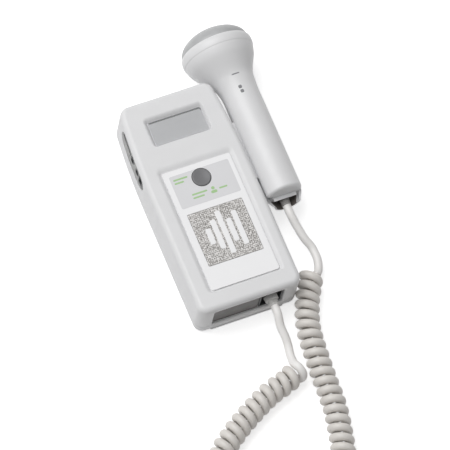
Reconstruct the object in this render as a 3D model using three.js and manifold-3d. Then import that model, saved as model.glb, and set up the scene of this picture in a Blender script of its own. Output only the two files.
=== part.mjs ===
// A hand-held fetal doppler monitor: the main unit lies on its back, the probe is docked on a rail
// along its right side, and one curly cord joins the probe to the unit's bottom end.
// Millimetres, +Z up out of the unit's face, +Y towards the display end, +X towards the probe.
// The origin is under the centre of the unit and probe, on the surface that they lie on.
import * as THREE from "three";
import { mergeVertices } from "three/addons/utils/BufferGeometryUtils.js";
import Module from "manifold-3d";

const wasm = await Module();
wasm.setup();

// Clearances that every piece shares, and the distance at which points are taken as one.
const gap = 0.3;
const overrun = 1;
const weld = 0.0001;

// The case of the main unit, from its centre.
const unit = {
  width: 68,
  length: 146,
  height: 32,
  corner: 6,
  edge_round: 3.5,
  inner_round: 1,
  side_wall: 2.4,
  face_wall: 3.4,
  floor_wall: 3.2,
  seam_height: 7.5,
  face_offset: 1,
  taper_length: 58,
  end_taper: 3.4,
};
const unit_ceiling = unit.height - unit.face_wall;
const inner_half_width = unit.width / 2 - unit.side_wall;
const inner_half_length = unit.length / 2 - unit.side_wall;
const taper_start_y = unit.length / 2 - unit.taper_length;
const taper_step_shares = [0.8, 0.6, 0.4, 0.2, 0];

// How far each side of the case has moved in, at a place along it: it narrows to the display end.
function sideInset(y) {
  const share = Math.max(0, (y - taper_start_y) / unit.taper_length);
  return unit.end_taper * share * share;
}

// The display window in the face.
const display = {
  end_margin: 24,
  side_margin: 15.75,
  glass_length: 17.3,
  recess_depth: 2.6,
  wall_slope: 2,
  lens_thickness: 0.8,
  ledge: 1.8,
  panel_thickness: 1.6,
  panel_margin: 1,
  frame_wall: 1.2,
};

const glass_width = unit.width - 2 * display.side_margin;
const display_y = unit.length / 2 - display.end_margin;

// The white overlay on the face, and the speaker grille and button that show through it.
const label = {
  side_margin: 11.25,
  low_end_margin: 12.85,
  high_end_margin: 50.45,
  thickness: 0.6,
  recess_depth: 1.4,
  wall_slope: 1.4,
};
const label_width = unit.width - 2 * label.side_margin;
const label_length = unit.length - label.low_end_margin - label.high_end_margin;
const label_y = (label.low_end_margin - label.high_end_margin) / 2;
const label_seat = unit.height - label.recess_depth;
const grille = {
  below_label_middle: 7.7,
  side_margin: 4.75,
  length_share: 0.4353,
  thickness: 0.8,
  hole_steps: 12,
  hole_radius_share: 0.3333,
  bar_end_room_share: 0.4333,
  sound_reach_share: 0.42,
  sound_hole_share: 0.41667,
  bar_pitch_share: 0.1361,
  bar_gap: 1.5,
  bar_raise: 0.2,
};
const grille_width = label_width - 2 * grille.side_margin;
const grille_length = grille.length_share * label_length;
const bar_pitch = grille.bar_pitch_share * grille_width;
const bar_width = bar_pitch - grille.bar_gap;
const grille_y = label_y - grille.below_label_middle;
const sound_hole_radius = Math.min(grille_width, grille_length) * grille.sound_hole_share;
const bar_height_shares = [0.3, 0.56, 0.82, 0.44, 0.66];

const button = {
  below_label_end: 9.85,
  radius: 6.15,
  proud: 0.5,
  travel: 0.8,
  flange: 1.6,
  flange_thickness: 1.4,
  stem_radius: 1.6,
};
const button_y = label_y + label_length / 2 - button.below_label_end;

// The circuit board and the switch under the button.
const board = {
  above_cells: 1.65,
  thickness: 1.6,
  side_margin: 3.9,
  taper_margin: 2.1,
  low_end_margin: 16,
  high_end_margin: 4.5,
  post_radius: 2,
  post_inset: 2.2,
  post_end_margin: 9,
  post_high_margin: 17,
};
const tact_switch = {
  side: 6.2,
  height: 3.6,
  plunger_radius: 1.7,
  plunger_height: 3.4,
  bore_depth: 2.2,
};

const speaker = {
  radius: 17,
  depth: 8.4,
  rim: 2,
  magnet_radius: 8,
  magnet_share: 0.45,
  cone_neck: 4,
  sheet: 0.8,
};

// The controls in the stadium recess of the left side.
const side_panel = {
  end_margin: 32,
  below_jacks: 1.5,
  length: 40,
  height: 14.4,
  set_back: 2.4,
  flange: 1.2,
  flange_thickness: 1,
};
const side_panel_y = unit.length / 2 - side_panel.end_margin;
const wheel = {
  from_panel_middle: 11,
  radius: 6.4,
  thickness: 3,
  proud: 0.8,
  ridges: 20,
  ridge_depth: 0.35,
  hub_radius: 1.1,
  slot_length: 12.8,
};
const wheel_y = side_panel_y + wheel.from_panel_middle;
const pot = { width: 5.4, length: 7.4, height: 2.4 };
const jack = {
  below_wheel: 11.2,
  pitch: 8.6,
  body_width: 5.6,
  body_height: 5.4,
  body_depth: 8.4,
  barrel_radius: 2.7,
  bore_radius: 1.75,
  bore_depth: 8,
};
const phones_y = wheel_y - jack.below_wheel;
const output_y = phones_y - jack.pitch;
const charger = { below_jack: 6.4, width: 4, height: 5, depth: 7, wall: 0.9 };

const charger_y = output_y - charger.below_jack;

// The recess in the bottom end: a plain panel on the left, and the bay of the cord on the right.
const end_recess = {
  left_screw_room: 3.9,
  right_screw_room: 5.7,
  above_seam: 1.2,
  below_face: 4.7,
  panel_set_back: 1.4,
  bay_width: 15.7,
  flange: 0.9,
  flange_thickness: 1,
  bay_depth: 9.6,
  bay_wall: 1,
};
const cord_plug = {
  above_recess: 9.1,
  width: 9,
  height: 6.6,
  depth: 5,
  collar_radius: 3.9,
  collar_length: 3,
  tip_radius: 3.1,
  tip_length: 3.5,
  socket_depth: 2.4,
};

// The battery bay, its door and three cells side by side.
const battery = {
  count: 3,
  radius: 7.1,
  length: 50.5,
  side_gap: 0.8,
  end_room: 3.75,
  nub_radius: 2.7,
  nub_length: 1,
  contact_thickness: 0.8,
  contact_bump: 1.4,
  contact_height: 11,
  bay_wall: 1.2,
  bay_head_room: 0.55,
};
const door = {
  thickness: 1.6,
  clearance: 0.25,
  side_lap: 1.5,
  end_lap: 1.95,
  tongue: 1,
  tongue_thickness: 0.8,
  grip_count: 4,
  grip_width: 16,
  grip_pitch: 2.4,
  grip_depth: 0.5,
};

const case_screw = {
  end_margin: 8,
  radius: 1.2,
  head_radius: 2.4,
  head_height: 1.8,
  head_depth: 0.8,
  length: 20,
  boss_radius: 3.1,
};

// The rail that holds the probe, and the probe from its axis.
const rail = {
  start_y: 3,
  neck_margin: 17,
  neck_half: 2,
  head_half: 3.4,
  head_thickness: 1.2,
  screw_radius: 0.8,
  screw_head_radius: 1.7,
  screw_head_height: 1.2,
  screw_margin: 8,
};
const probe = {
  radius: 12,
  side_gap: 1.4,
  table_gap: 0.3,
  end_y: -12.5,
  wall: 1.8,
  end_round: 3,
  trough_length: 6,
  trough_below_axis: 3,
  neck_margin: 13,
  flare_length: 30,
  head_offset: 3,
  rim_radius: 23.4,
  rim_length: 4.5,
  rim_round: 0.9,
  face_bulge: 11.5,
  face_seat_share: 0.35,
  face_inset: 0.7,
  face_wall: 2.4,
  face_skirt: 4.5,
  board_start_y: 22,
  board_neck_margin: 14,
  board_thickness: 1.2,
  board_margin: 6.6,
  screw_low_y: 16,
  screw_neck_margin: 9,
};
const neck_y = unit.length / 2 - probe.neck_margin;
const rim_y = neck_y + probe.flare_length;
const rail_end_y = neck_y - rail.neck_margin;
const probe_x = unit.width / 2 + probe.side_gap + probe.radius;
const head_x = probe_x - probe.head_offset;
const probe_z = probe.rim_radius + probe.table_gap;
const probe_inner = probe.radius - probe.wall;
const flare_length_shares = [0, 0.22, 0.37, 0.52, 0.67, 0.81, 0.93, 1];
const flare_radius_shares = [0, 0.07, 0.16, 0.35, 0.6, 0.82, 0.95, 1];

const crystal = { radius: 12, thickness: 1.5, split: 1, backing_radius: 14, backing_thickness: 3 };
const probe_screw = { radius: 1, head_radius: 2, head_height: 1.4, boss_radius: 2.5, head_depth: 0.6 };
const probe_bay = { half_width: 5.8, height: 8.2, drop: 5.4, depth: 8, wall: 0.6 };
const probe_boot = { tip_radius: 2.7, taper: 3, proud: 5.5 };

// The cord. The curls follow a route over the table, as chosen points of its centreline.
const cord = {
  diameter: 5,
  coil_diameter: 16,
  pitch: 6.6,
  coil_sides: 5,
  curl_steps: 8,
  lead_sides: 8,
  lead_steps: 14,
};
const curl_radius = (cord.coil_diameter - cord.diameter) / 2;
const coil_z = cord.coil_diameter / 2 + gap;
const coil_route = [
  [49.3, -53],
  [48.3, -59.5],
  [44.5, -66.5],
  [37.9, -77.7],
  [31.6, -94.1],
  [29.2, -111.8],
  [27.8, -130],
  [26.6, -148.7],
  [23.3, -165.7],
  [19.5, -180],
  [11, -198],
  [-4, -213],
  [-24, -221],
  [-45, -219],
  [-61, -207],
  [-68, -189],
  [-64, -170],
  [-51.2, -154.2],
  [-37.8, -143.6],
  [-22.4, -134.4],
  [-8.1, -127.3],
  [5.2, -123],
  [12.6, -119.4],
  [17, -115.4],
  [18.6, -110],
];

const colours = {
  case: 0xe3e3e2,
  label: 0xfafafa,
  grille: 0xb9b6b4,
  button: 0x767678,
  lens: 0xc0c0c0,
  display: 0xa9aca6,
  side_panel: 0xa4a4a4,
  dark: 0x3a3c3d,
  end_panel: 0x66686a,
  face: 0xb4b4b2,
  boot: 0x9b9a97,
  cord: 0xd6d0c8,
  board: 0x2f6b45,
  steel: 0xb8babd,
  cell: 0x53585e,
  cone: 0x3b3733,
  crystal: 0xcdbb8a,
};

function material(colour, roughness = 0.5, metalness = 0) {
  return new THREE.MeshStandardMaterial({ color: colour, roughness, metalness });
}

const finishes = {
  case: material(colours.case, 0.45),
  label: material(colours.label, 0.35),
  grille: material(colours.grille, 0.5),
  button: material(colours.button, 0.5),
  lens: material(colours.lens, 0.15),
  display: material(colours.display, 0.3),
  side_panel: material(colours.side_panel, 0.5),
  dark: material(colours.dark, 0.5),
  end_panel: material(colours.end_panel, 0.5),
  face: material(colours.face, 0.4),
  boot: material(colours.boot, 0.6),
  cord: material(colours.cord, 0.45),
  board: material(colours.board, 0.5),
  steel: material(colours.steel, 0.35, 1),
  cell: material(colours.cell, 0.4, 0.5),
  cone: material(colours.cone, 0.8),
  crystal: material(colours.crystal, 0.4),
};

// A closed geometry as a solid for joins and cuts.
function solid(geometry) {
  const bare = geometry.clone();
  bare.deleteAttribute("normal");
  bare.deleteAttribute("uv");
  const merged = mergeVertices(bare, weld);
  const index = merged.index.array;
  const kept = [];
  for (let i = 0; i < index.length; i += 3) {
    const [a, b, c] = index.slice(i, i + 3);
    if (a !== b && b !== c && a !== c) kept.push(a, b, c);
  }
  const vertProperties = merged.attributes.position.array;
  return new wasm.Manifold(new wasm.Mesh({ numProp: 3, vertProperties, triVerts: new Uint32Array(kept) }));
}

function joined(...solids) {
  return solids.reduce((whole, next) => whole.add(next));
}

function cut(body, ...tools) {
  return tools.reduce((left, tool) => left.subtract(tool), body);
}

// A solid back as a named mesh.
function mesh(name, body, finish) {
  const data = body.getMesh();
  const places = new Float32Array(data.numVert * 3);
  for (let i = 0; i < data.numVert; i++) {
    places.set(data.vertProperties.subarray(i * data.numProp, i * data.numProp + 3), i * 3);
  }
  const geometry = new THREE.BufferGeometry();
  geometry.setAttribute("position", new THREE.BufferAttribute(places, 3));
  geometry.setIndex(new THREE.BufferAttribute(data.triVerts, 1));
  geometry.computeVertexNormals();
  const made = new THREE.Mesh(geometry, finish);
  made.name = name;
  return made;
}

// A box between two corners.
function box(x0, x1, y0, y1, z0, z1) {
  const geometry = new THREE.BoxGeometry(x1 - x0, y1 - y0, z1 - z0);
  geometry.translate((x0 + x1) / 2, (y0 + y1) / 2, (z0 + z1) / 2);
  return solid(geometry);
}

// A round bar along one axis, from its middle point.
function bar(axis, x, y, z, radius, length, segments = 24) {
  const geometry = new THREE.CylinderGeometry(radius, radius, length, segments);
  if (axis === "x") geometry.rotateZ(Math.PI / 2);
  if (axis === "z") geometry.rotateX(Math.PI / 2);
  geometry.translate(x, y, z);
  return solid(geometry);
}

// A turned piece: its profile is radius and height pairs, and it stands along +Z or lies along +Y.
function turned(profile, axis, x, y, z, segments = 24) {
  const points = profile.map(([r, h]) => new THREE.Vector2(r, h));
  const geometry = new THREE.LatheGeometry(points, segments);
  if (axis === "z") geometry.rotateX(Math.PI / 2);
  geometry.translate(x, y, z);
  return solid(geometry);
}

function roundedRectangle(width, length, radius) {
  const shape = new THREE.Shape();
  const x = width / 2 - radius;
  const y = length / 2 - radius;
  shape.absarc(x, y, radius, 0, Math.PI / 2);
  shape.absarc(-x, y, radius, Math.PI / 2, Math.PI);
  shape.absarc(-x, -y, radius, Math.PI, Math.PI * 1.5);
  shape.absarc(x, -y, radius, Math.PI * 1.5, Math.PI * 2);
  return shape;
}

// The plan of the case at a width and a length: a rounded rectangle whose sides follow the taper.
function casePlan(width, length, corner) {
  const outline = roundedRectangle(width, length, corner).getPoints(3);
  const top_half = outline.length / 2;
  const step_ys = taper_step_shares.map((share) => taper_start_y + share * unit.taper_length);
  const left = step_ys.map((y) => new THREE.Vector2(-width / 2, y));
  const right = step_ys.toReversed().map((y) => new THREE.Vector2(width / 2, y));
  const points = [...outline.slice(0, top_half), ...left, ...outline.slice(top_half), ...right];
  return new THREE.Shape(points.map(({ x, y }) => new THREE.Vector2(x - Math.sign(x) * sideInset(y), y)));
}

// A prism over the plan of the case, moved in by margin all round.
function casePrism(margin, bottom, top) {
  const shape = casePlan(unit.width - 2 * margin, unit.length - 2 * margin, unit.corner);
  const geometry = new THREE.ExtrudeGeometry(shape, { depth: top - bottom, bevelEnabled: false });
  geometry.translate(0, 0, bottom);
  return solid(geometry);
}

// A block over the plan of the case, with rounded top and bottom edges.
function caseBlock(width, length, bottom, top, corner, edge) {
  const shape = casePlan(width - 2 * edge, length - 2 * edge, corner - edge);
  const geometry = new THREE.ExtrudeGeometry(shape, {
    depth: top - bottom - 2 * edge,
    bevelThickness: edge,
    bevelSize: edge,
    bevelSegments: 3,
    curveSegments: 3,
  });
  geometry.translate(0, 0, bottom + edge);
  return solid(geometry);
}

// A plate with straight edges and rounded corners, standing on bottom.
function plate(width, length, bottom, top, corner, x, y) {
  const geometry = new THREE.ExtrudeGeometry(roundedRectangle(width, length, corner), {
    depth: top - bottom,
    bevelEnabled: false,
    curveSegments: 1,
  });
  geometry.translate(x, y, bottom);
  return solid(geometry);
}

// The same plate turned to face -X, from its outer face to its inner face.
function sidePlate(length, height, outer_x, inner_x, y, z) {
  const geometry = new THREE.ExtrudeGeometry(roundedRectangle(length, height, height / 2), {
    depth: inner_x - outer_x,
    bevelEnabled: false,
    curveSegments: 6,
  });
  geometry.rotateX(Math.PI / 2);
  geometry.rotateZ(Math.PI / 2);
  geometry.translate(outer_x, y, z);
  return solid(geometry);
}

// A recess cutter: a plate that widens by slope from its floor to the face.
function slopedRecess(width, length, slope, depth, x, y) {
  const geometry = new THREE.CylinderGeometry(Math.SQRT1_2, Math.SQRT1_2, 1, 4, 1);
  geometry.rotateX(Math.PI / 2);
  geometry.rotateZ(Math.PI / 4);
  const place = geometry.getAttribute("position");
  const rise = depth + overrun;
  const spread = (slope * rise) / depth;
  for (let i = 0; i < place.count; i++) {
    const grow = place.getZ(i) > 0 ? 2 * spread : 0;
    const half = place.getZ(i) > 0 ? rise : 0;
    place.setXYZ(i, place.getX(i) * (width + grow), place.getY(i) * (length + grow), half);
  }
  geometry.translate(x, y, unit.height - depth);
  return solid(geometry);
}

// The bottom end: the height of its recess, and the panel and the cord's bay in its depth.
const recess_bottom = unit.seam_height + end_recess.above_seam;
const recess_top = unit.height - end_recess.below_face;
const end_y = -unit.length / 2;
const end_flange_y = -inner_half_length + gap;
const end_flange_back_y = end_flange_y + end_recess.flange_thickness;
const panel_front_y = end_y + end_recess.panel_set_back;
const bay_back_y = panel_front_y + end_recess.bay_depth;

// The battery bay behind the cord's bay, where the floor opens for the door.
const battery_pitch = 2 * battery.radius + battery.side_gap;
const bay_half_width = (battery_pitch * (battery.count - 1)) / 2 + battery.radius + 2 * gap;
const contact_room = battery.contact_thickness + battery.contact_bump + 2 * gap;
const bay_start_y = bay_back_y + battery.end_room + battery.bay_wall;
const battery_y = bay_start_y + contact_room + battery.length / 2;
const bay_end_y = battery_y + battery.length / 2 + contact_room;
const door_half_width = bay_half_width + door.side_lap;
const door_end_y = bay_end_y + door.end_lap;
const door_top = door.clearance + door.thickness;
const door_seat = door_top + gap;
const tongue_bottom = door_top - door.tongue_thickness;
const cell_z = door_seat + battery.radius;
const cell_top = cell_z + battery.radius;

// The board lies over the cells, and what it carries stands on it.
const board_bottom = cell_top + board.above_cells;
const board_top = board_bottom + board.thickness;
const board_half_width = inner_half_width - board.side_margin;
const board_start_y = end_y + board.low_end_margin;
const board_end_y = -end_y - board.high_end_margin;
const pot_bottom = board_top + gap;
const pot_top = pot_bottom + pot.height;
const wheel_z = pot_top + 2 * gap + wheel.thickness / 2;
const jack_z = board_top + gap + jack.body_height / 2;
const side_panel_z = jack_z - side_panel.below_jacks;

// The screws of the case and their bosses, at the four corners, clear of the door.
const case_screw_x = door_half_width + door.tongue + 2 * gap + case_screw.head_radius;
const case_screw_y = unit.length / 2 - case_screw.end_margin;
const high_screw_x = case_screw_x - sideInset(case_screw_y);
const case_screw_places = [
  [-case_screw_x, -case_screw_y],
  [case_screw_x, -case_screw_y],
  [-high_screw_x, case_screw_y],
  [high_screw_x, case_screw_y],
];
const recess_left = -case_screw_x + end_recess.left_screw_room;
const recess_right = case_screw_x - end_recess.right_screw_room;
const split_x = recess_right - end_recess.bay_width;
const screw_head_top = case_screw.head_depth + case_screw.head_height;
const screw_tip = screw_head_top + case_screw.length;

function caseShape() {
  return caseBlock(unit.width, unit.length, 0, unit.height, unit.corner, unit.edge_round);
}

function caseHollow() {
  return caseBlock(
    2 * inner_half_width,
    2 * inner_half_length,
    unit.floor_wall,
    unit_ceiling,
    unit.corner - unit.side_wall,
    unit.inner_round,
  );
}

// Everything of the case above or below the seam.
function halfSpace(bottom, top) {
  return box(-unit.width, unit.width, -unit.length, unit.length, bottom, top);
}

// Where the floor opens for the door and its tongues, and for the cells.
function doorCutters() {
  const half = door_half_width + gap;
  const end = door_end_y + gap;
  const outside = -unit.length / 2 - overrun;
  return [
    box(-half, half, outside, end, -overrun, door_seat),
    box(-half - door.tongue, half + door.tongue, outside, end, tongue_bottom - gap, door_seat),
    box(-bay_half_width, bay_half_width, bay_start_y, bay_end_y, 0, unit.floor_wall + overrun),
  ];
}

function batteryBayWalls() {
  const wall = battery.bay_wall;
  const outer_half = bay_half_width + wall;
  const bottom = unit.floor_wall - unit.inner_round;
  const top = cell_top + battery.bay_head_room;
  return cut(
    box(-outer_half, outer_half, bay_start_y - wall, bay_end_y + wall, bottom, top),
    box(-bay_half_width, bay_half_width, bay_start_y, bay_end_y, 0, unit.height),
  );
}

function rearShell() {
  let shell = cut(caseShape(), caseHollow(), halfSpace(unit.seam_height - gap / 2, 2 * unit.height));
  shell = joined(shell, batteryBayWalls());
  const post_top = board_bottom - gap;
  const post_bottom = unit.floor_wall - gap;
  const post_x = board_half_width - board.post_inset;
  for (const x of [-post_x, post_x]) {
    for (const y of [board_start_y + board.post_end_margin, board_end_y - board.post_high_margin]) {
      const middle = (post_bottom + post_top) / 2;
      shell = shell.add(bar("z", x, y, middle, board.post_radius, post_top - post_bottom, 12));
    }
  }
  const boss_top = unit.seam_height - gap / 2;
  for (const [x, y] of case_screw_places) {
    shell = shell.add(bar("z", x, y, (boss_top + gap) / 2, case_screw.boss_radius, boss_top - gap, 16));
    shell = shell.subtract(bar("z", x, y, 0, case_screw.radius + gap, unit.height, 12));
    const head_room = 2 * (screw_head_top + gap);
    shell = shell.subtract(bar("z", x, y, 0, case_screw.head_radius + gap, head_room, 16));
  }
  return mesh("rear_shell", cut(shell, ...doorCutters()), finishes.case);
}

// The openings of the face: the window, the label's recess, the button and the speaker.
function faceCutters() {
  const x = unit.face_offset;
  const window_width = glass_width - 2 * display.ledge;
  const window_length = display.glass_length - 2 * display.ledge;
  const recess_width = label_width + 2 * gap;
  const recess_length = label_length + 2 * gap;
  const hole_height = 4 * unit.face_wall;
  return [
    slopedRecess(
      glass_width + 2 * gap,
      display.glass_length + 2 * gap,
      display.wall_slope,
      display.recess_depth,
      x,
      display_y,
    ),
    plate(window_width, window_length, unit_ceiling - overrun, unit.height, gap, x, display_y),
    slopedRecess(recess_width, recess_length, label.wall_slope, label.recess_depth, x, label_y),
    bar("z", x, button_y, unit.height, button.radius + gap, hole_height, 32),
    bar("z", x, grille_y, unit.height, sound_hole_radius, hole_height, 24),
  ];
}

function endOpening() {
  const outside = -unit.length / 2 - overrun;
  return box(
    recess_left,
    recess_right,
    outside,
    -inner_half_length + overrun,
    recess_bottom,
    recess_top,
  );
}

// The inner face of the side wall beside the panel's high end, where it is furthest in.
const panel_high_y = side_panel_y + side_panel.length / 2 + side_panel.flange;
const panel_wall_x = -inner_half_width + sideInset(panel_high_y);

function sideOpening() {
  return sidePlate(
    side_panel.length,
    side_panel.height,
    -unit.width / 2 - overrun,
    panel_wall_x + overrun,
    side_panel_y,
    side_panel_z,
  );
}

// The two screws that hold the dock rail from inside the case.
const rail_screw_ys = [rail.start_y + rail.screw_margin, rail_end_y - rail.screw_margin];
const rail_screw_head_x = inner_half_width - gap - rail.screw_head_height;

function frontShell() {
  let shell = cut(caseShape(), caseHollow(), halfSpace(-overrun, unit.seam_height + gap / 2));
  const boss_bottom = unit.seam_height + gap / 2;
  const boss_height = unit_ceiling + gap - boss_bottom;
  const boss_middle = boss_bottom + boss_height / 2;
  const bore_top = screw_tip + gap;
  for (const [x, y] of case_screw_places) {
    shell = shell.add(bar("z", x, y, boss_middle, case_screw.boss_radius, boss_height, 16));
    shell = shell.subtract(bar("z", x, y, 0, case_screw.radius + gap, 2 * bore_top, 12));
  }
  const reach = 4 * unit.side_wall;
  const head_radius = rail.screw_head_radius + gap;
  const room = rail.screw_head_height + gap;
  const room_x = inner_half_width - room / 2;
  for (const y of rail_screw_ys) {
    const bore = bar("x", unit.width / 2, y, probe_z, rail.screw_radius + gap, reach, 12);
    shell = cut(shell, bore, bar("x", room_x, y, probe_z, head_radius, room, 12));
  }
  return mesh("front_shell", cut(shell, ...faceCutters(), endOpening(), sideOpening()), finishes.case);
}

function caseScrew(number, [x, y]) {
  const profile = [
    [0, 0],
    [case_screw.head_radius, 0],
    [case_screw.head_radius, case_screw.head_height],
    [case_screw.radius, case_screw.head_height],
    [case_screw.radius, case_screw.head_height + case_screw.length],
    [0, case_screw.head_height + case_screw.length],
  ];
  const body = turned(profile, "z", x, y, case_screw.head_depth, 12);
  return mesh("case_screw_" + number, body, finishes.steel);
}

function batteryDoor() {
  const half = door_half_width;
  const end = door_end_y;
  const outside = -unit.length / 2;
  let body = joined(
    box(-half, half, outside, end, door.clearance, door_top),
    box(-half - door.tongue, half + door.tongue, outside, end, tongue_bottom, door_top),
  );
  body = body.intersect(caseShape());
  const grip_half = door.grip_width / 2;
  const grip_top = door.clearance + door.grip_depth;
  for (let i = 0; i < door.grip_count; i++) {
    const y = end - door.grip_pitch * (i + 2);
    body = body.subtract(box(-grip_half, grip_half, y, y + door.grip_pitch / 2, 0, grip_top));
  }
  return mesh("battery_door", body, finishes.case);
}

function batteryCell(number) {
  const x = battery_pitch * (number - (battery.count + 1) / 2);
  const body_length = battery.length - battery.nub_length;
  const profile = [
    [0, 0],
    [battery.radius, 0],
    [battery.radius, body_length],
    [battery.nub_radius, body_length],
    [battery.nub_radius, battery.length],
    [0, battery.length],
  ];
  const start = battery_y - battery.length / 2;
  return mesh("battery_" + number, turned(profile, "y", x, start, cell_z, 20), finishes.cell);
}

// A contact strip with one bump for each cell, against the bay's end wall.
function batteryContact(name, wall_y, towards) {
  const half_height = battery.contact_height / 2;
  const half_width = bay_half_width - gap;
  const outer_y = wall_y + towards * gap;
  const inner_y = outer_y + towards * battery.contact_thickness;
  const low_y = Math.min(outer_y, inner_y);
  const high_y = Math.max(outer_y, inner_y);
  let body = box(-half_width, half_width, low_y, high_y, cell_z - half_height, cell_z + half_height);
  const bump_tip = inner_y + towards * battery.contact_bump;
  const bump_middle = (outer_y + bump_tip) / 2 + (towards * battery.contact_thickness) / 4;
  const bump_length = battery.contact_thickness / 2 + battery.contact_bump;
  for (let i = 0; i < battery.count; i++) {
    const x = battery_pitch * (i - (battery.count - 1) / 2);
    body = body.add(bar("y", x, bump_middle, cell_z, battery.nub_radius, bump_length, 12));
  }
  return mesh(name, body, finishes.steel);
}

function lens() {
  const { glass_length } = display;
  const bottom = unit.height - display.recess_depth + gap;
  const top = bottom + display.lens_thickness;
  const body = plate(glass_width, glass_length, bottom, top, gap, unit.face_offset, display_y);
  return mesh("display_lens", body, finishes.lens);
}

const display_frame_top = unit_ceiling - gap;
const display_panel_bottom = display_frame_top - gap - display.panel_thickness;

function displayPanel() {
  const width = glass_width + display.panel_margin;
  const length = display.glass_length + display.panel_margin;
  const top = display_panel_bottom + display.panel_thickness;
  const body = plate(width, length, display_panel_bottom, top, gap, unit.face_offset, display_y);
  return mesh("display_panel", body, finishes.display);
}

function displayFrame() {
  const width = glass_width + display.panel_margin + 2 * gap;
  const length = display.glass_length + display.panel_margin + 2 * gap;
  const x = unit.face_offset;
  const bottom = board_top + gap;
  const pocket = display_panel_bottom - gap;
  const wall = 2 * display.frame_wall;
  const body = cut(
    plate(width + wall, length + wall, bottom, display_frame_top, gap, x, display_y),
    plate(width, length, pocket, unit.height, gap, x, display_y),
  );
  return mesh("display_frame", body, finishes.dark);
}

function labelOverlay() {
  const bottom = label_seat + gap;
  const hole_width = grille_width + 2 * gap;
  const hole_length = grille_length + 2 * gap;
  const x = unit.face_offset;
  const body = cut(
    plate(label_width, label_length, bottom, bottom + label.thickness, gap, x, label_y),
    plate(hole_width, hole_length, 0, unit.height, gap, x, grille_y),
    bar("z", x, button_y, unit.height, button.radius + gap, unit.height, 32),
  );
  return mesh("label_overlay", body, finishes.label);
}

// The places of the grille's level bars: middle across, and length along.
function grilleBars() {
  return bar_height_shares.map((share, i) => ({
    x: bar_pitch * (i - (bar_height_shares.length - 1) / 2),
    length: share * grille_length,
  }));
}

function speakerGrille() {
  const bottom = label_seat + gap;
  const top = bottom + grille.thickness;
  const x = unit.face_offset;
  const bars = grilleBars();
  let body = plate(grille_width, grille_length, bottom, top, gap, x, grille_y);
  const { hole_steps, sound_reach_share } = grille;
  const pitch_x = grille_width / hole_steps;
  const pitch_y = grille_length / hole_steps;
  const hole_radius = Math.min(pitch_x, pitch_y) * grille.hole_radius_share;
  const bar_end_room = pitch_y * grille.bar_end_room_share;
  const rows = hole_steps / 2 - 1;
  for (let i = -rows; i <= rows; i++) {
    for (let j = -rows; j <= rows; j++) {
      const hole_x = i * pitch_x;
      const hole_y = j * pitch_y;
      const under_bar = bars.some(
        (b) => Math.abs(hole_x - b.x) < pitch_x && Math.abs(hole_y) < b.length / 2 + bar_end_room,
      );
      const outside = Math.hypot(i, j) > sound_reach_share * hole_steps;
      if (under_bar || outside) continue;
      const hole = bar("z", x + hole_x, grille_y + hole_y, bottom, hole_radius, unit.height, 4);
      body = body.subtract(hole);
    }
  }
  const bar_bottom = (bottom + top) / 2;
  const bar_top = top + grille.bar_raise;
  const corner = bar_width / 3;
  for (const b of bars) {
    body = body.add(plate(bar_width, b.length, bar_bottom, bar_top, corner, x + b.x, grille_y));
  }
  return mesh("speaker_grille", body, finishes.grille);
}

// The speaker hangs under the face: a pressed frame, a paper cone and a magnet.
const speaker_top = unit_ceiling - gap;
const speaker_bottom = board_top + gap;
const magnet_top = speaker_bottom + speaker.depth * speaker.magnet_share;

function speakerFrame() {
  const neck = speaker.magnet_radius;
  const sheet = speaker.sheet;
  const low = magnet_top + gap;
  const profile = [
    [speaker.cone_neck + sheet, low],
    [neck, low],
    [speaker.radius, speaker_top - speaker.rim],
    [speaker.radius, speaker_top],
    [speaker.radius - speaker.rim, speaker_top],
    [speaker.radius - speaker.rim, speaker_top - speaker.rim + sheet],
    [neck - sheet, low + sheet],
    [speaker.cone_neck + sheet, low + sheet],
    [speaker.cone_neck + sheet, low],
  ];
  const body = turned(profile, "z", unit.face_offset, grille_y, 0, 24);
  return mesh("speaker_frame", body, finishes.steel);
}

function speakerCone() {
  const low = magnet_top + gap + speaker.sheet + gap;
  const high = speaker_top - speaker.rim / 2;
  const outer = speaker.radius - speaker.rim - gap;
  const profile = [
    [0, low + speaker.sheet / 2],
    [speaker.cone_neck, low + speaker.sheet / 2],
    [outer - speaker.sheet, high],
    [outer, high],
    [outer, high + speaker.sheet],
    [outer - speaker.sheet, high + speaker.sheet],
    [speaker.cone_neck, low + 2 * speaker.sheet],
    [0, low + 2 * speaker.sheet],
  ];
  return mesh("speaker_cone", turned(profile, "z", unit.face_offset, grille_y, 0, 24), finishes.cone);
}

function speakerMagnet() {
  const height = magnet_top - speaker_bottom;
  const middle = speaker_bottom + height / 2;
  const body = bar("z", unit.face_offset, grille_y, middle, speaker.magnet_radius, height, 20);
  return mesh("speaker_magnet", body, finishes.steel);
}

function mainBoard() {
  const half = board_half_width;
  const room = casePrism(unit.side_wall + board.taper_margin, 0, unit.height);
  let body = box(-half, half, board_start_y, board_end_y, board_bottom, board_top).intersect(room);
  for (const [x, y] of case_screw_places) {
    body = body.subtract(bar("z", x, y, board_top, case_screw.boss_radius + gap, unit.height, 16));
  }
  return mesh("main_board", body, finishes.board);
}

const switch_top = board_top + gap + tact_switch.height;
const bore_bottom = switch_top - tact_switch.bore_depth;
const plunger_bottom = bore_bottom + button.travel + gap;
const plunger_top = plunger_bottom + tact_switch.plunger_height;

function switchBody() {
  const half = tact_switch.side / 2;
  const x = unit.face_offset;
  const body = cut(
    box(x - half, x + half, button_y - half, button_y + half, board_top + gap, switch_top),
    bar("z", x, button_y, bore_bottom + unit.height / 2, tact_switch.plunger_radius + gap, unit.height, 16),
  );
  return mesh("switch_body", body, finishes.dark);
}

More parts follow.
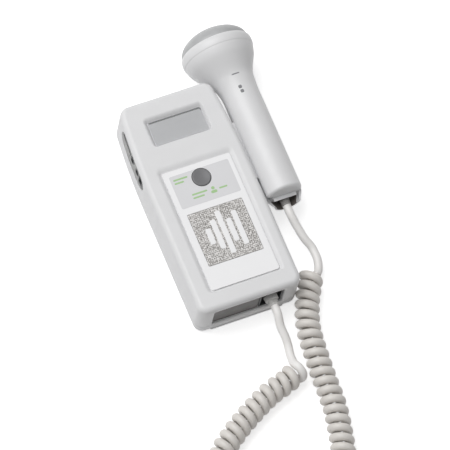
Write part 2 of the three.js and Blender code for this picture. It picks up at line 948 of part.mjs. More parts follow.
function switchPlunger() {
  const middle = (plunger_bottom + plunger_top) / 2;
  const height = tact_switch.plunger_height;
  const body = bar("z", unit.face_offset, button_y, middle, tact_switch.plunger_radius, height, 16);
  return mesh("switch_plunger", body, finishes.dark);
}

function powerButton() {
  const top = label_seat + gap + label.thickness + button.proud;
  const flange_top = unit_ceiling - gap;
  const flange_bottom = flange_top - button.flange_thickness;
  const chamfer = button.proud / 2;
  const profile = [
    [0, plunger_top + gap],
    [button.stem_radius, plunger_top + gap],
    [button.stem_radius, flange_bottom],
    [button.radius + button.flange, flange_bottom],
    [button.radius + button.flange, flange_top],
    [button.radius, flange_top],
    [button.radius, top - chamfer],
    [button.radius - chamfer, top],
    [0, top],
  ];
  return mesh("power_button", turned(profile, "z", unit.face_offset, button_y, 0, 32), finishes.button);
}

// The left side: the panel, the wheel and its pot, two jacks and the charging socket.
const panel_outer_x = -unit.width / 2 + side_panel.set_back;
const panel_inner_x = panel_wall_x + gap + side_panel.flange_thickness;
const wheel_x = -unit.width / 2 + side_panel.set_back - wheel.proud + wheel.radius;

function sidePanel() {
  const outer = sidePlate(
    side_panel.length - 2 * gap,
    side_panel.height - 2 * gap,
    panel_outer_x,
    panel_inner_x,
    side_panel_y,
    side_panel_z,
  );
  const flange = sidePlate(
    side_panel.length + 2 * side_panel.flange,
    side_panel.height + 2 * side_panel.flange,
    -inner_half_width,
    panel_inner_x,
    side_panel_y,
    side_panel_z,
  );
  const inside_walls = casePrism(unit.side_wall + gap, 0, unit.height);
  const low_x = panel_outer_x - overrun;
  const high_x = panel_inner_x + overrun;
  const below_face = halfSpace(0, unit_ceiling - unit.inner_round - gap);
  const slot = wheel.slot_length / 2;
  const half = wheel.thickness / 2 + gap;
  const charger_half_width = charger.width / 2 + gap;
  const charger_half_height = charger.height / 2 + gap;
  const reach = 4 * unit.side_wall;
  const body = cut(
    outer.add(flange.intersect(below_face).intersect(inside_walls)),
    box(low_x, high_x, wheel_y - slot, wheel_y + slot, wheel_z - half, wheel_z + half),
    bar("x", panel_outer_x, phones_y, jack_z, jack.barrel_radius + gap, reach, 16),
    bar("x", panel_outer_x, output_y, jack_z, jack.barrel_radius + gap, reach, 16),
    box(
      low_x,
      high_x,
      charger_y - charger_half_width,
      charger_y + charger_half_width,
      jack_z - charger_half_height,
      jack_z + charger_half_height,
    ),
  );
  return mesh("side_panel", body, finishes.side_panel);
}

function volumeWheel() {
  let body = bar("z", wheel_x, wheel_y, wheel_z, wheel.radius, wheel.thickness, 2 * wheel.ridges);
  for (let i = 0; i < wheel.ridges; i++) {
    const angle = (2 * Math.PI * i) / wheel.ridges;
    const notch_x = wheel_x + wheel.radius * Math.cos(angle);
    const notch_y = wheel_y + wheel.radius * Math.sin(angle);
    body = body.subtract(bar("z", notch_x, notch_y, wheel_z, wheel.ridge_depth, 2 * wheel.thickness, 4));
  }
  const low = pot_bottom + gap;
  const high = wheel_z;
  body = body.add(bar("z", wheel_x, wheel_y, (low + high) / 2, wheel.hub_radius, high - low, 16));
  return mesh("volume_wheel", body, finishes.button);
}

function volumePot() {
  const left = panel_inner_x + gap;
  const half = pot.length / 2;
  const bore_middle = pot_bottom + gap / 2 + unit.height / 2;
  const body = cut(
    box(left, left + pot.width, wheel_y - half, wheel_y + half, pot_bottom, pot_top),
    bar("z", wheel_x, wheel_y, bore_middle, wheel.hub_radius + gap, unit.height, 16),
  );
  return mesh("volume_pot", body, finishes.dark);
}

function jackSocket(name, y) {
  const left = panel_inner_x + gap;
  const half = jack.body_width / 2;
  const bottom = board_top + gap;
  const barrel_length = left - panel_outer_x + overrun;
  const barrel_middle = panel_outer_x + barrel_length / 2;
  const bore_middle = panel_outer_x - overrun + jack.bore_depth / 2;
  const body = cut(
    joined(
      box(left, left + jack.body_depth, y - half, y + half, bottom, bottom + jack.body_height),
      bar("x", barrel_middle, y, jack_z, jack.barrel_radius, barrel_length, 16),
    ),
    bar("x", bore_middle, y, jack_z, jack.bore_radius, jack.bore_depth, 16),
  );
  return mesh(name, body, finishes.dark);
}

function chargeSocket() {
  const outer = panel_outer_x + gap;
  const half_width = charger.width / 2;
  const half_height = charger.height / 2;
  const back = outer + charger.depth;
  const wall = charger.wall;
  const y = charger_y;
  const body = cut(
    box(outer, back, y - half_width, y + half_width, jack_z - half_height, jack_z + half_height),
    box(
      outer - overrun,
      back - wall,
      y - half_width + wall,
      y + half_width - wall,
      jack_z - half_height + wall,
      jack_z + half_height - wall,
    ),
  );
  return mesh("charge_socket", body, finishes.dark);
}

function endPanel() {
  const { flange } = end_recess;
  const right = split_x - gap / 2;
  const low = recess_bottom + gap;
  const high = recess_top - gap;
  const rim_low = recess_bottom - flange;
  const rim_high = recess_top + flange;
  const body = joined(
    box(recess_left + gap, right, panel_front_y, end_flange_back_y, low, high),
    box(recess_left - flange, right, end_flange_y, end_flange_back_y, rim_low, rim_high),
  );
  return mesh("end_panel", body, finishes.end_panel);
}

const bay_left = split_x + gap / 2;
const bay_right = recess_right - gap;
const cord_exit_x = (bay_left + bay_right) / 2;

function cordBay() {
  const { flange, bay_wall } = end_recess;
  const low = recess_bottom + gap;
  const high = recess_top - gap;
  const rim_low = recess_bottom - flange;
  const rim_high = recess_top + flange;
  const body = cut(
    joined(
      box(bay_left, bay_right, panel_front_y, bay_back_y, low, high),
      box(bay_left, bay_right + flange, end_flange_y, end_flange_back_y, rim_low, rim_high),
    ),
    box(
      bay_left + bay_wall,
      bay_right - bay_wall,
      end_y - overrun,
      bay_back_y - bay_wall,
      low + bay_wall,
      high - bay_wall,
    ),
  );
  return mesh("cord_bay", body, finishes.dark);
}

const socket_back_y = bay_back_y - end_recess.bay_wall - gap;
const socket_front_y = socket_back_y - cord_plug.socket_depth;
const plug_back_y = socket_front_y - gap;
const plug_front_y = plug_back_y - cord_plug.depth;
const cord_plug_z = recess_bottom + cord_plug.above_recess;
const unit_cord_exit_y = plug_front_y - cord_plug.collar_length - cord_plug.tip_length;

function cordSocket() {
  const half = cord_plug.width / 2;
  const half_height = cord_plug.height / 2;
  const body = box(
    cord_exit_x - half,
    cord_exit_x + half,
    socket_front_y,
    socket_back_y,
    cord_plug_z - half_height,
    cord_plug_z + half_height,
  );
  return mesh("cord_socket", body, finishes.dark);
}

function unitStrainRelief() {
  const half = cord_plug.width / 2;
  const half_height = cord_plug.height / 2;
  const collar_front_y = plug_front_y - cord_plug.collar_length;
  const tip_profile = [
    [0, -cord_plug.tip_length],
    [cord_plug.tip_radius, -cord_plug.tip_length],
    [cord_plug.collar_radius, 0],
    [cord_plug.collar_radius, cord_plug.collar_length + cord_plug.depth / 2],
    [0, cord_plug.collar_length + cord_plug.depth / 2],
  ];
  const z = cord_plug_z;
  const x = cord_exit_x;
  const body = joined(
    box(x - half, x + half, plug_front_y, plug_back_y, z - half_height, z + half_height),
    turned(tip_profile, "y", x, collar_front_y, z, 16),
  );
  return mesh("unit_strain_relief", body, finishes.boot);
}

// The dock rail on the right side: a T in section, whose head runs inside the probe's handle.
const rail_base_x = unit.width / 2 + gap;
const rail_head_x = probe_x - probe_inner + 2 * gap + gap / 2;
const rail_tip_x = rail_head_x + rail.head_thickness;

function dockRail() {
  const { start_y, neck_half, head_half } = rail;
  const base_x = rail_base_x - unit.end_taper;
  const neck = box(base_x, rail_tip_x, start_y, rail_end_y, probe_z - neck_half, probe_z + neck_half);
  let body = joined(
    neck.subtract(casePrism(-gap, 0, 2 * unit.height)),
    box(rail_head_x, rail_tip_x, start_y, rail_end_y, probe_z - head_half, probe_z + head_half),
  );
  const reach = 2 * (rail_head_x - rail_base_x);
  for (const y of rail_screw_ys) {
    body = body.subtract(bar("x", rail_base_x, y, probe_z, rail.screw_radius + gap, reach, 12));
  }
  return mesh("dock_rail", body, finishes.case);
}

function railScrew(number, y) {
  const head_height = rail.screw_head_height;
  const head_x = rail_screw_head_x;
  const tip_x = rail_head_x - gap;
  const body = joined(
    bar("x", head_x + head_height / 2, y, probe_z, rail.screw_head_radius, head_height, 12),
    bar("x", (head_x + tip_x) / 2, y, probe_z, rail.screw_radius, tip_x - head_x, 12),
  );
  return mesh("rail_screw_" + number, body, finishes.steel);
}

// The probe: two half shells split along the axis, turned about +Y. Over the flare it eases off its
// axis, towards the unit.
const head_end_y = rim_y + probe.rim_length;

function eased(body) {
  return body.warp((place) => {
    const share = Math.min(Math.max((place[1] - neck_y) / (rim_y - neck_y), 0), 1);
    place[0] -= probe.head_offset * share * share * (3 - 2 * share);
  });
}

function flareProfile(offset) {
  return flare_length_shares.map((share, i) => [
    probe.radius - offset + flare_radius_shares[i] * (probe.rim_radius - probe.radius),
    neck_y + share * (rim_y - neck_y),
  ]);
}

function probeOutside() {
  const round = probe.end_round;
  const steps = 3;
  const end = [];
  for (let i = 0; i <= steps; i++) {
    const angle = (Math.PI / 2) * (i / steps);
    end.push([
      probe.radius - round + round * Math.sin(angle),
      probe.end_y + round - round * Math.cos(angle),
    ]);
  }
  const profile = [
    [0, probe.end_y],
    ...end,
    ...flareProfile(0),
    [probe.rim_radius, head_end_y - probe.rim_round],
    [probe.rim_radius - probe.rim_round, head_end_y],
    [0, head_end_y],
  ];
  return eased(turned(profile, "y", probe_x, 0, probe_z, 32));
}

const skirt_radius = probe.rim_radius - probe.wall - gap;

function probeHollow() {
  const start = probe.end_y + probe.wall;
  const profile = [
    [0, start],
    [probe_inner - probe.wall, start],
    [probe_inner, start + probe.wall],
    ...flareProfile(probe.wall),
    [probe.rim_radius - probe.wall, head_end_y + overrun],
    [0, head_end_y + overrun],
  ];
  return eased(turned(profile, "y", probe_x, 0, probe_z, 32));
}

// Below the cord's opening the lower shell runs on as an open trough.
function probeTrough() {
  const low_y = probe.end_y - probe.trough_length;
  const high_y = probe.end_y + probe.end_round + probe.wall;
  const middle = (low_y + high_y) / 2;
  const length = high_y - low_y;
  const left = probe_x - 2 * probe.radius;
  const right = probe_x + 2 * probe.radius;
  return cut(
    bar("y", probe_x, middle, probe_z, probe.radius, length, 32),
    bar("y", probe_x, middle, probe_z, probe_inner, length + 2 * overrun, 32),
    box(left, right, low_y - overrun, high_y + overrun, probe_z - probe.trough_below_axis, 2 * probe_z),
  );
}

const probe_bay_left = probe_x - probe_bay.half_width;
const probe_bay_right = probe_x + probe_bay.half_width;
const probe_bay_back_y = probe.end_y + probe_bay.depth;
const probe_bay_z = probe_z - probe_bay.drop;
const probe_bay_bottom = probe_bay_z - probe_bay.height / 2;
const probe_bay_top = probe_bay_z + probe_bay.height / 2;
const probe_screw_ys = [probe.screw_low_y, neck_y - probe.screw_neck_margin];
const probe_head_z = probe_z - probe.radius + probe_screw.head_depth + probe_screw.head_height;

// The whole shell with its bosses, its slot for the rail, its bay and its screw holes.
function probeShell() {
  let shell = cut(probeOutside(), probeHollow()).add(probeTrough());
  const height = 2 * probe.radius;
  const bore_middle = probe_z - probe.wall;
  const room_middle = probe_head_z + gap - probe.radius;
  for (const y of probe_screw_ys) {
    const post = bar("z", probe_x, y, probe_z, probe_screw.boss_radius, height, 16);
    const bore = bar("z", probe_x, y, bore_middle, probe_screw.radius + gap, height, 12);
    const head_room = bar("z", probe_x, y, room_middle, probe_screw.head_radius + gap, height, 16);
    shell = cut(shell.add(post.intersect(probeOutside())), bore, head_room);
  }
  const slot_half = rail.neck_half + gap;
  const outside = probe.end_y - overrun;
  const slot = box(
    unit.width / 2,
    rail_tip_x + gap,
    outside,
    rail_end_y + gap,
    probe_z - slot_half,
    probe_z + slot_half,
  );
  const head_half = rail.head_half + gap;
  const track = box(
    rail_head_x - gap,
    rail_tip_x + gap,
    outside,
    rail_end_y + gap,
    probe_z - head_half,
    probe_z + head_half,
  );
  const bay = box(
    probe_bay_left,
    probe_bay_right,
    outside,
    probe_bay_back_y + gap,
    probe_bay_bottom,
    probe_bay_top,
  );
  return cut(shell, slot, track, bay);
}

function probeHalves() {
  const shell = probeShell();
  const reach = 2 * unit.length;
  const seam = gap / 2;
  const upper = shell.subtract(box(0, reach, -reach, reach, -reach, probe_z + seam));
  const lower = shell.subtract(box(0, reach, -reach, reach, probe_z - seam, reach));
  return [mesh("probe_upper_shell", upper, finishes.case), mesh("probe_lower_shell", lower, finishes.case)];
}

function probeScrew(number, y) {
  const head_bottom = probe_head_z - probe_screw.head_height;
  const tip = probe_z + probe.radius - probe.wall - 2 * gap;
  const profile = [
    [0, head_bottom],
    [probe_screw.head_radius, head_bottom],
    [probe_screw.head_radius, probe_head_z],
    [probe_screw.radius, probe_head_z],
    [probe_screw.radius, tip],
    [0, tip],
  ];
  return mesh("probe_screw_" + number, turned(profile, "z", probe_x, y, 0, 12), finishes.steel);
}

// The face of the probe: a dome with a flat seat behind it, and a skirt inside the rim.
const face_start_y = head_end_y + gap;
const face_radius = probe.rim_radius - probe.face_inset;
const face_seat_y = head_end_y + probe.face_bulge * probe.face_seat_share;

function probeFace() {
  const steps = 6;
  const dome = [];
  for (let i = 0; i <= steps; i++) {
    const angle = (Math.PI / 2) * (i / steps);
    const radius = face_radius * Math.cos(angle);
    dome.push([i === steps ? 0 : radius, face_start_y + probe.face_bulge * Math.sin(angle)]);
  }
  const skirt_end = face_start_y - probe.face_skirt;
  const skirt_inner = skirt_radius - probe.face_wall;
  const profile = [
    [0, face_seat_y],
    [crystal.backing_radius + gap, face_seat_y],
    [skirt_inner, face_start_y],
    [skirt_inner, skirt_end],
    [skirt_radius, skirt_end],
    [skirt_radius, face_start_y],
    ...dome,
  ];
  return mesh("probe_face", turned(profile, "y", head_x, 0, probe_z, 32), finishes.face);
}

const crystal_front_y = face_seat_y - gap;
const crystal_back_y = crystal_front_y - crystal.thickness;

function crystalHalf(name, side) {
  const disc = bar(
    "y",
    head_x,
    (crystal_front_y + crystal_back_y) / 2,
    probe_z,
    crystal.radius,
    crystal.thickness,
    24,
  );
  const reach = 2 * crystal.radius;
  const split = crystal.split / 2;
  const removed = box(
    side > 0 ? head_x - reach : head_x - split,
    side > 0 ? head_x + split : head_x + reach,
    0,
    2 * unit.length,
    -reach,
    probe_z + reach,
  );
  return mesh(name, disc.subtract(removed), finishes.crystal);
}

function crystalBacking() {
  const front = crystal_back_y - gap;
  const middle = front - crystal.backing_thickness / 2;
  const body = bar("y", head_x, middle, probe_z, crystal.backing_radius, crystal.backing_thickness, 24);
  return mesh("crystal_backing", body, finishes.dark);
}

function probeBoard() {
  const thickness = probe.board_thickness;
  const left = probe_x - probe.board_margin;
  const right = probe_x + Math.sqrt(probe_inner ** 2 - (2 * thickness) ** 2) - gap;
  const bottom = probe_z + thickness / 2;
  const far_y = neck_y - probe.board_neck_margin;
  const body = box(left, right, probe.board_start_y, far_y, bottom, bottom + thickness);
  return mesh("probe_board", body, finishes.board);
}

function probeBay() {
  const wall = probe_bay.wall;
  const front = probe.end_y + probe.end_round / 2;
  const back = probe_bay_back_y;
  const body = cut(
    box(
      probe_bay_left + gap,
      probe_bay_right - gap,
      front,
      back,
      probe_bay_bottom + gap,
      probe_bay_top - gap,
    ),
    box(
      probe_bay_left + gap + wall,
      probe_bay_right - gap - wall,
      probe.end_y - overrun,
      back - wall,
      probe_bay_bottom + gap + wall,
      probe_bay_top - gap - wall,
    ),
  );
  return mesh("probe_bay", body, finishes.dark);
}

const probe_cord_exit_y = probe.end_y - probe_boot.proud;

function probeStrainRelief() {
  const back = probe_bay_back_y - probe_bay.wall - gap;
  const radius = probe_bay.height / 2 - probe_bay.wall - 2 * gap;
  const profile = [
    [0, probe_cord_exit_y],
    [probe_boot.tip_radius, probe_cord_exit_y],
    [radius, probe_cord_exit_y + probe_boot.taper],
    [radius, back],
    [0, back],
  ];
  const body = turned(profile, "y", probe_x, 0, probe_bay_z, 16);
  return mesh("probe_strain_relief", body, finishes.boot);
}

// The cord: a lead from each end, and the curls between them.
const cord_radius = cord.diameter / 2;
const route_curve = new THREE.CatmullRomCurve3(
  coil_route.map(([x, y]) => new THREE.Vector3(x, y, coil_z)),
  false,
  "centripetal",
);
const route_length = route_curve.getLength();
const curl_count = Math.round(route_length / cord.pitch) - 1;

// The curls' centreline. Each end runs straight along the route, beside its middle line, and the
// winding speeds up over the first curl and slows down over the last.
function coilPoints() {
  const total = 2 * Math.PI * curl_count;
  const ramp = cord.pitch;
  const straight = cord.diameter;
  const winding = route_length - 2 * straight - ramp;
  const turned_at = (s) => {
    const t = s - straight;
    if (t <= 0) return 0;
    if (t < ramp) return (total * t * t) / (2 * ramp * winding);
    const end = route_length - 2 * straight;
    if (t < end - ramp) return (total * (t - ramp / 2)) / winding;
    if (t < end) return total - (total * (end - t) ** 2) / (2 * ramp * winding);
    return total;
  };
  const steps = Math.round((route_length / cord.pitch) * cord.curl_steps);
  const points = [];
  for (let i = 0; i <= steps; i++) {
    const s = (route_length * i) / steps;
    const centre = route_curve.getPointAt(s / route_length);
    const along = route_curve.getTangentAt(s / route_length);
    const side = new THREE.Vector3(-along.y, along.x, 0);
    const angle = turned_at(s);
    points.push(
      centre
        .clone()
        .addScaledVector(side, curl_radius * Math.cos(angle))
        .add(new THREE.Vector3(0, 0, -curl_radius * Math.sin(angle))),
    );
  }
  return points;
}

// A closed tube through points, with flat ends square to its first and last steps.
function tubeGeometry(points, radius, sides) {
  const places = [];
  const index = [];
  let normal = new THREE.Vector3(0, 0, 1);
  points.forEach((point, i) => {
    const before = points[Math.max(i - 1, 0)];
    const after = points[Math.min(i + 1, points.length - 1)];
    const along = after.clone().sub(before).normalize();
    normal = normal.clone().addScaledVector(along, -normal.dot(along)).normalize();
    const across = along.clone().cross(normal);
    for (let k = 0; k < sides; k++) {
      const angle = (2 * Math.PI * k) / sides;
      const ring = point
        .clone()
        .addScaledVector(normal, radius * Math.cos(angle))
        .addScaledVector(across, radius * Math.sin(angle));
      places.push(ring.x, ring.y, ring.z);
    }
  });
  for (let i = 0; i + 1 < points.length; i++) {
    for (let k = 0; k < sides; k++) {
      const a = i * sides + k;
      const b = i * sides + ((k + 1) % sides);
      index.push(a, b, a + sides, b, b + sides, a + sides);
    }
  }
  const last = (points.length - 1) * sides;
  for (let k = 1; k + 1 < sides; k++) {
    index.push(0, k + 1, k, last, last + k, last + k + 1);
  }
  const geometry = new THREE.BufferGeometry();
  geometry.setAttribute("position", new THREE.BufferAttribute(new Float32Array(places), 3));
  geometry.setIndex(index);
  return geometry;
}

// How far along the line each of its points lies.
function distancesAlong(points) {
  const travelled = [0];
  for (let i = 1; i < points.length; i++) {
    travelled.push(travelled[i - 1] + points[i].distanceTo(points[i - 1]));
  }
  return travelled;
}

// The least gap between stretches of the tube that are more than half a curl apart along it.
function leastGap(points, radius) {
  const travelled = distancesAlong(points);
  let least = Infinity;
  points.forEach((a, i) => {
    for (let j = i + 1; j < points.length; j++) {
      if (travelled[j] - travelled[i] < Math.PI * curl_radius) continue;
      least = Math.min(least, a.distanceTo(points[j]));
    }
  });
  return least - 2 * radius;
}

function extrudedTube(points, radius, sides, steps) {
  const section = new THREE.Shape();
  for (let k = 0; k < sides; k++) {
    const angle = (2 * Math.PI * k) / sides;
    if (k === 0) section.moveTo(radius, 0);
    else section.lineTo(radius * Math.cos(angle), radius * Math.sin(angle));
  }
  const path = new THREE.CatmullRomCurve3(points, false, "centripetal");
  return new THREE.ExtrudeGeometry(section, { extrudePath: path, steps, bevelEnabled: false });
}

function coilCord(points) {
  const length = distancesAlong(points).at(-1);
  console.log("least gap between curls " + leastGap(points, cord_radius).toFixed(2) + " mm");
  console.log(curl_count + " curls, " + length.toFixed(0) + " mm of cord in the coil");
  const body = solid(tubeGeometry(points, cord_radius, cord.coil_sides));
  return mesh("coil_cord", body, finishes.cord);
}

// A lead starts square to its exit and ends square to the coil's straight end.
function lead(name, exit, middle_points, coil_end, coil_next) {
  const inward = coil_end.clone().sub(coil_next).normalize();
  const end = coil_end.clone().addScaledVector(inward, gap);
  const before_end = end.clone().addScaledVector(inward, cord.diameter);
  const start = exit.clone().add(new THREE.Vector3(0, -gap, 0));
  const after_start = start.clone().add(new THREE.Vector3(0, -cord.diameter, 0));
  const points = [start, after_start, ...middle_points, before_end, end];
  const tube = extrudedTube(points, cord_radius, cord.lead_sides, cord.lead_steps);
  return mesh(name, solid(tube), finishes.cord);
}

const probe_lead_route = [
  [48.9, -31, 15],
  [51.4, -40.4, 11.6],
];
const unit_lead_route = [
  [14, -90, 14],
  [14.8, -98, 11],
];

function cords() {
  const points = coilPoints();
  const routed = (list) => list.map(([x, y, z]) => new THREE.Vector3(x, y, z));
  const probe_exit = new THREE.Vector3(probe_x, probe_cord_exit_y, probe_bay_z);
  const unit_exit = new THREE.Vector3(cord_exit_x, unit_cord_exit_y, cord_plug_z);
  return [
    lead("probe_lead", probe_exit, routed(probe_lead_route), points[0], points[1]),
    coilCord(points),
    lead("unit_lead", unit_exit, routed(unit_lead_route), points.at(-1), points.at(-2)),
  ];
}

const group = new THREE.Group();
group.name = "fetal_doppler_monitor";
group.add(frontShell(), rearShell(), batteryDoor(), lens(), displayPanel(), displayFrame());
group.add(labelOverlay(), speakerGrille(), speakerFrame(), speakerCone(), speakerMagnet());
group.add(powerButton(), switchBody(), switchPlunger(), mainBoard());
group.add(sidePanel(), volumeWheel(), volumePot(), chargeSocket());
group.add(jackSocket("phones_jack", phones_y), jackSocket("output_jack", output_y));
group.add(endPanel(), cordBay(), cordSocket(), unitStrainRelief(), dockRail());
for (let i = 1; i <= battery.count; i++) group.add(batteryCell(i));
group.add(batteryContact("battery_contact_low", bay_start_y, 1));
group.add(batteryContact("battery_contact_high", bay_end_y, -1));
case_screw_places.forEach((place, i) => group.add(caseScrew(i + 1, place)));
rail_screw_ys.forEach((y, i) => group.add(railScrew(i + 1, y)));
group.add(...probeHalves(), probeFace(), crystalBacking(), probeBoard(), probeBay(), probeStrainRelief());
group.add(crystalHalf("transmit_crystal", -1), crystalHalf("receive_crystal", 1));
probe_screw_ys.forEach((y, i) => group.add(probeScrew(i + 1, y)));
group.add(...cords());

// The frame's origin is under the middle of the unit, its strain relief and the docked probe.
const face_tip_y = face_start_y + probe.face_bulge;
const middle_x = (head_x + probe.rim_radius - unit.width / 2) / 2;
const middle_y = (face_tip_y + unit_cord_exit_y) / 2;
group.position.set(-middle_x, -middle_y, 0);

export default group;
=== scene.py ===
"""A fetal doppler monitor: the main unit, the probe docked at its side and the curly cord between them.

Sizes are in millimetres in the unit's own frame: x and y from the middle of the case, z from the table.
Bounds are the lowest and highest u, then the lowest and highest v, on the two axes across a solid.
"""
import random
from math import ceil, copysign, cos, hypot, inf, pi, radians, sin, sqrt
from types import SimpleNamespace as Sizes

import bmesh
import bpy
import numpy as np
from mathutils import Matrix, Vector


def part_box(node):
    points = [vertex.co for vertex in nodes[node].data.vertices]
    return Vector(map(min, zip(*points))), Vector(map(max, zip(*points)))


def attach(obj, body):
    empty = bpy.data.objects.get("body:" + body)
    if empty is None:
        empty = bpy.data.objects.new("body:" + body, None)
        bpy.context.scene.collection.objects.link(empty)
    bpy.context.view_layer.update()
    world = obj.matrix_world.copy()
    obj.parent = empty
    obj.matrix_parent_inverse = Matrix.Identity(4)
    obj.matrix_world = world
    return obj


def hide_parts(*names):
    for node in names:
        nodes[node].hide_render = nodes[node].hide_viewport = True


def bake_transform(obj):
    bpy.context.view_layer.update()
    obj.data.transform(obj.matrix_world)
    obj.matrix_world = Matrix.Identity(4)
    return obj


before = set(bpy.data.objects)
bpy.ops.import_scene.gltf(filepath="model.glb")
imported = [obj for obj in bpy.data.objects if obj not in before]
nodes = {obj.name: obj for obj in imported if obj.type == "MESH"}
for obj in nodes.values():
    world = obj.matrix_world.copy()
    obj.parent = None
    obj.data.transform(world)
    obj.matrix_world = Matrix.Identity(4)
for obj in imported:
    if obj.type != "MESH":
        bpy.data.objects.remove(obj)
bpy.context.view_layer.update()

MM = 0.001
GAP = 0.3
shell_low, shell_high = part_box("front_shell")
ORIGIN = Vector(((shell_low.x + shell_high.x) / 2, (shell_low.y + shell_high.y) / 2, 0))


def to_row(point):
    """A point of the unit's frame in the row frame, in metres."""
    return ORIGIN + Vector(point) * MM


def node_box(name):
    """Lowest and highest corner of a CAD node in the unit's frame."""
    low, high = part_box(name)
    return (low - ORIGIN) / MM, (high - ORIGIN) / MM


# ---- sizes ----
# Heights where cutters start and end: under the case, inside it and over its face.
BELOW = -1
INSIDE = 20
ABOVE = 33
OVERLAY_CUT = (30, 33)

CASE = Sizes(
    half_width=34, half_length=73, height=32, corner=6, edge=3.5, wall=2.4, seam=7.5, seam_edge=0.2,
    ceiling=28.6, floor=3.2, taper_start=15, taper_length=58, taper_steps=14, end_taper=3.4,
)
FACE_X = 1
WINDOW = Sizes(
    bounds=(-17.1, 18.8, 41.6, 58.2), slopes=(2.8, 1.5, 1.1, 3.4), corner=0.9, floor=29.4, ledge=0.4,
    film=(28.4, 29.7), film_reach=0.2, pane=((29.8, 0), (30.1, -0.15)),
)
# The dark strip along the display film's top edge: painted shadow of the window's upper wall.
PAINTED_SHADOW_LINE = ((-16.1, 57.2), (-16.1, 58.2), (17.8, 58.2), (18.6, 57.5), (18.6, 56.2), (17.9, 56.2), (17.5, 57.2))
LABEL = Sizes(
    bounds=(-21.75, 23.75, -60.15, 22.55), slopes=(3, 3.2, 1.6, 4.4), seat=30.6, corner=1,
    film_corner=1.6, film_edge=0.12,
)
INK = Sizes(sunk=0.01, height=0.05)
PRINT = Sizes(bounds=(-18.5, 21, -3.8, 19), button_room=0.5)
GREEN = Sizes(
    lines=((-16.6, 15.9, 9.4), (-16.6, 13.6, 6.2), (-9.2, 3.3, 10.2), (-9.2, 0.9, 7.6), (8.6, 2.2, 5.4)),
    line_half=0.55, line_corner=0.5, dot=(4.9, 3.6, 1.1), body=(2.9, 6.9, 0.2, 2.1), body_corner=0.9,
)
GRILLE = Sizes(
    side=36, y=-26.5, edge=0.1, sound_radius=15, holes=29, hole_pitch=1.2, hole_radii=(0.18, 0.34),
    hole_sides=8, bar_raise=0.2, bar_width=3.4, bar_pitch=4.9, bar_corner=1.1,
    bar_shares=(0.3, 0.56, 0.82, 0.44, 0.66),
)
BUTTON = Sizes(
    y=12.7, radius=6, edge=0.7, dish=0.5, dish_rim=1, stem=1.6, flange=7.75, flange_levels=(27.2, 28.3),
)
SIDE = Sizes(
    bounds=(21, 61, 13.9, 28.3), depth=0.25, edge=0.25, back_x=-29, lip=0.3, gap=0.12, cut=(-36, -26),
    patch_depths=(0.15, 0.55),
)
WHEEL = Sizes(
    x=-26, y=52, z=24.4, radius=6.4, thickness=3, ridges=28, ridge_steps=6,
    slot=(45.6, 58.4, 22.6, 26.2), ridge_depth=0.3, edge=0.3, edge_share=0.95,
    surround=(45.2, 60, 15.5, 27.5),
)
JACK = Sizes(ys=(40.8, 32.2), z=22.6, barrel=2.7, bore=1.75, lip=0.3, proud=0.15, depth=6, floor=1)
CHARGE = Sizes(
    y=25.8, room=(23.5, 28.1, 19.8, 25.4), wall=0.7, edge=0.15, back_x=-27,
    surround=(22, 28.8, 17.6, 26.4),
)
END = Sizes(
    bounds=(-24.3, 22.5, 8.7, 27.3), corner=1.2, lip=0.9, deep_y=-65, split=6.8, panel_y=-71.6,
    panel_corner=0.9, panel_edge=0.3, tray_edge=0.25, tray_wall=1, back_y=-62,
)
PLUG = Sizes(x=14.575, z=17.8, bounds=(10.075, 19.075, 14.5, 21.1), front_y=-71, edge=0.5)
UNIT_BOOT = Sizes(
    ends=(-77.5, -70.8), tip=((2.4, 0), (2.8, 0), (3.2, 0.4)), first_rib=0.9, rib_pitch=0.95,
    rib=((3.3, 0), (2.95, 0.35), (3.4, 0.7)), collar=((3.9, 3.5), (4.3, 3.9)),
)
PROBE_BOOT = Sizes(
    tip=((2.4, 0), (2.75, 0), (3, 0.3)), first_rib=1.2, rib_pitch=1.4,
    rib=((3.05, 0), (2.7, 0.35), (2.7, 0.6), (3.1, 0.95)), collar=((3.2, 5.8),),
)
DOOR = Sizes(
    half_width=24.2, end_y=1, room_y=-80, bottom=0.25, top=1.85, edge=0.35, corner=0.8,
    bay=(-22.7, 22.7, -60, -1), grips=4, grip_y=-59, grip_pitch=2.4, grip_half=(8, 0.6),
    arrow=((-4, -63), (0, -68), (4, -63)),
)
CASE_SCREW = Sizes(
    radius=2.4, height=1.8, bottom=0.8, well=(BELOW, 2.6),
    places=((-28.2, -65), (28.2, -65), (-25.67, 65), (25.67, 65)),
)
PROBE_SCREW = Sizes(radius=2, height=1.4, bottom=12.3, well=(8, 14), ys=(16, 51))
SCREW_CROSS = Sizes(reach=0.62, half=0.28, depth=0.7, corner=0.1)
PROBE = Sizes(
    x=47.4, z=23.7, radius=12, wall=1.8, seam_half=0.1, end_y=-12.5, end_round=2, end_wall=3, neck_y=60,
    neck_lead=12, head_offset=3, rim_y=88, rim_length=6.6, rim_radius=23.4, rim_rounds=(0.55, 1.5),
    rim_wall=2, around=(10, 90, -30, 120), far=40,
)
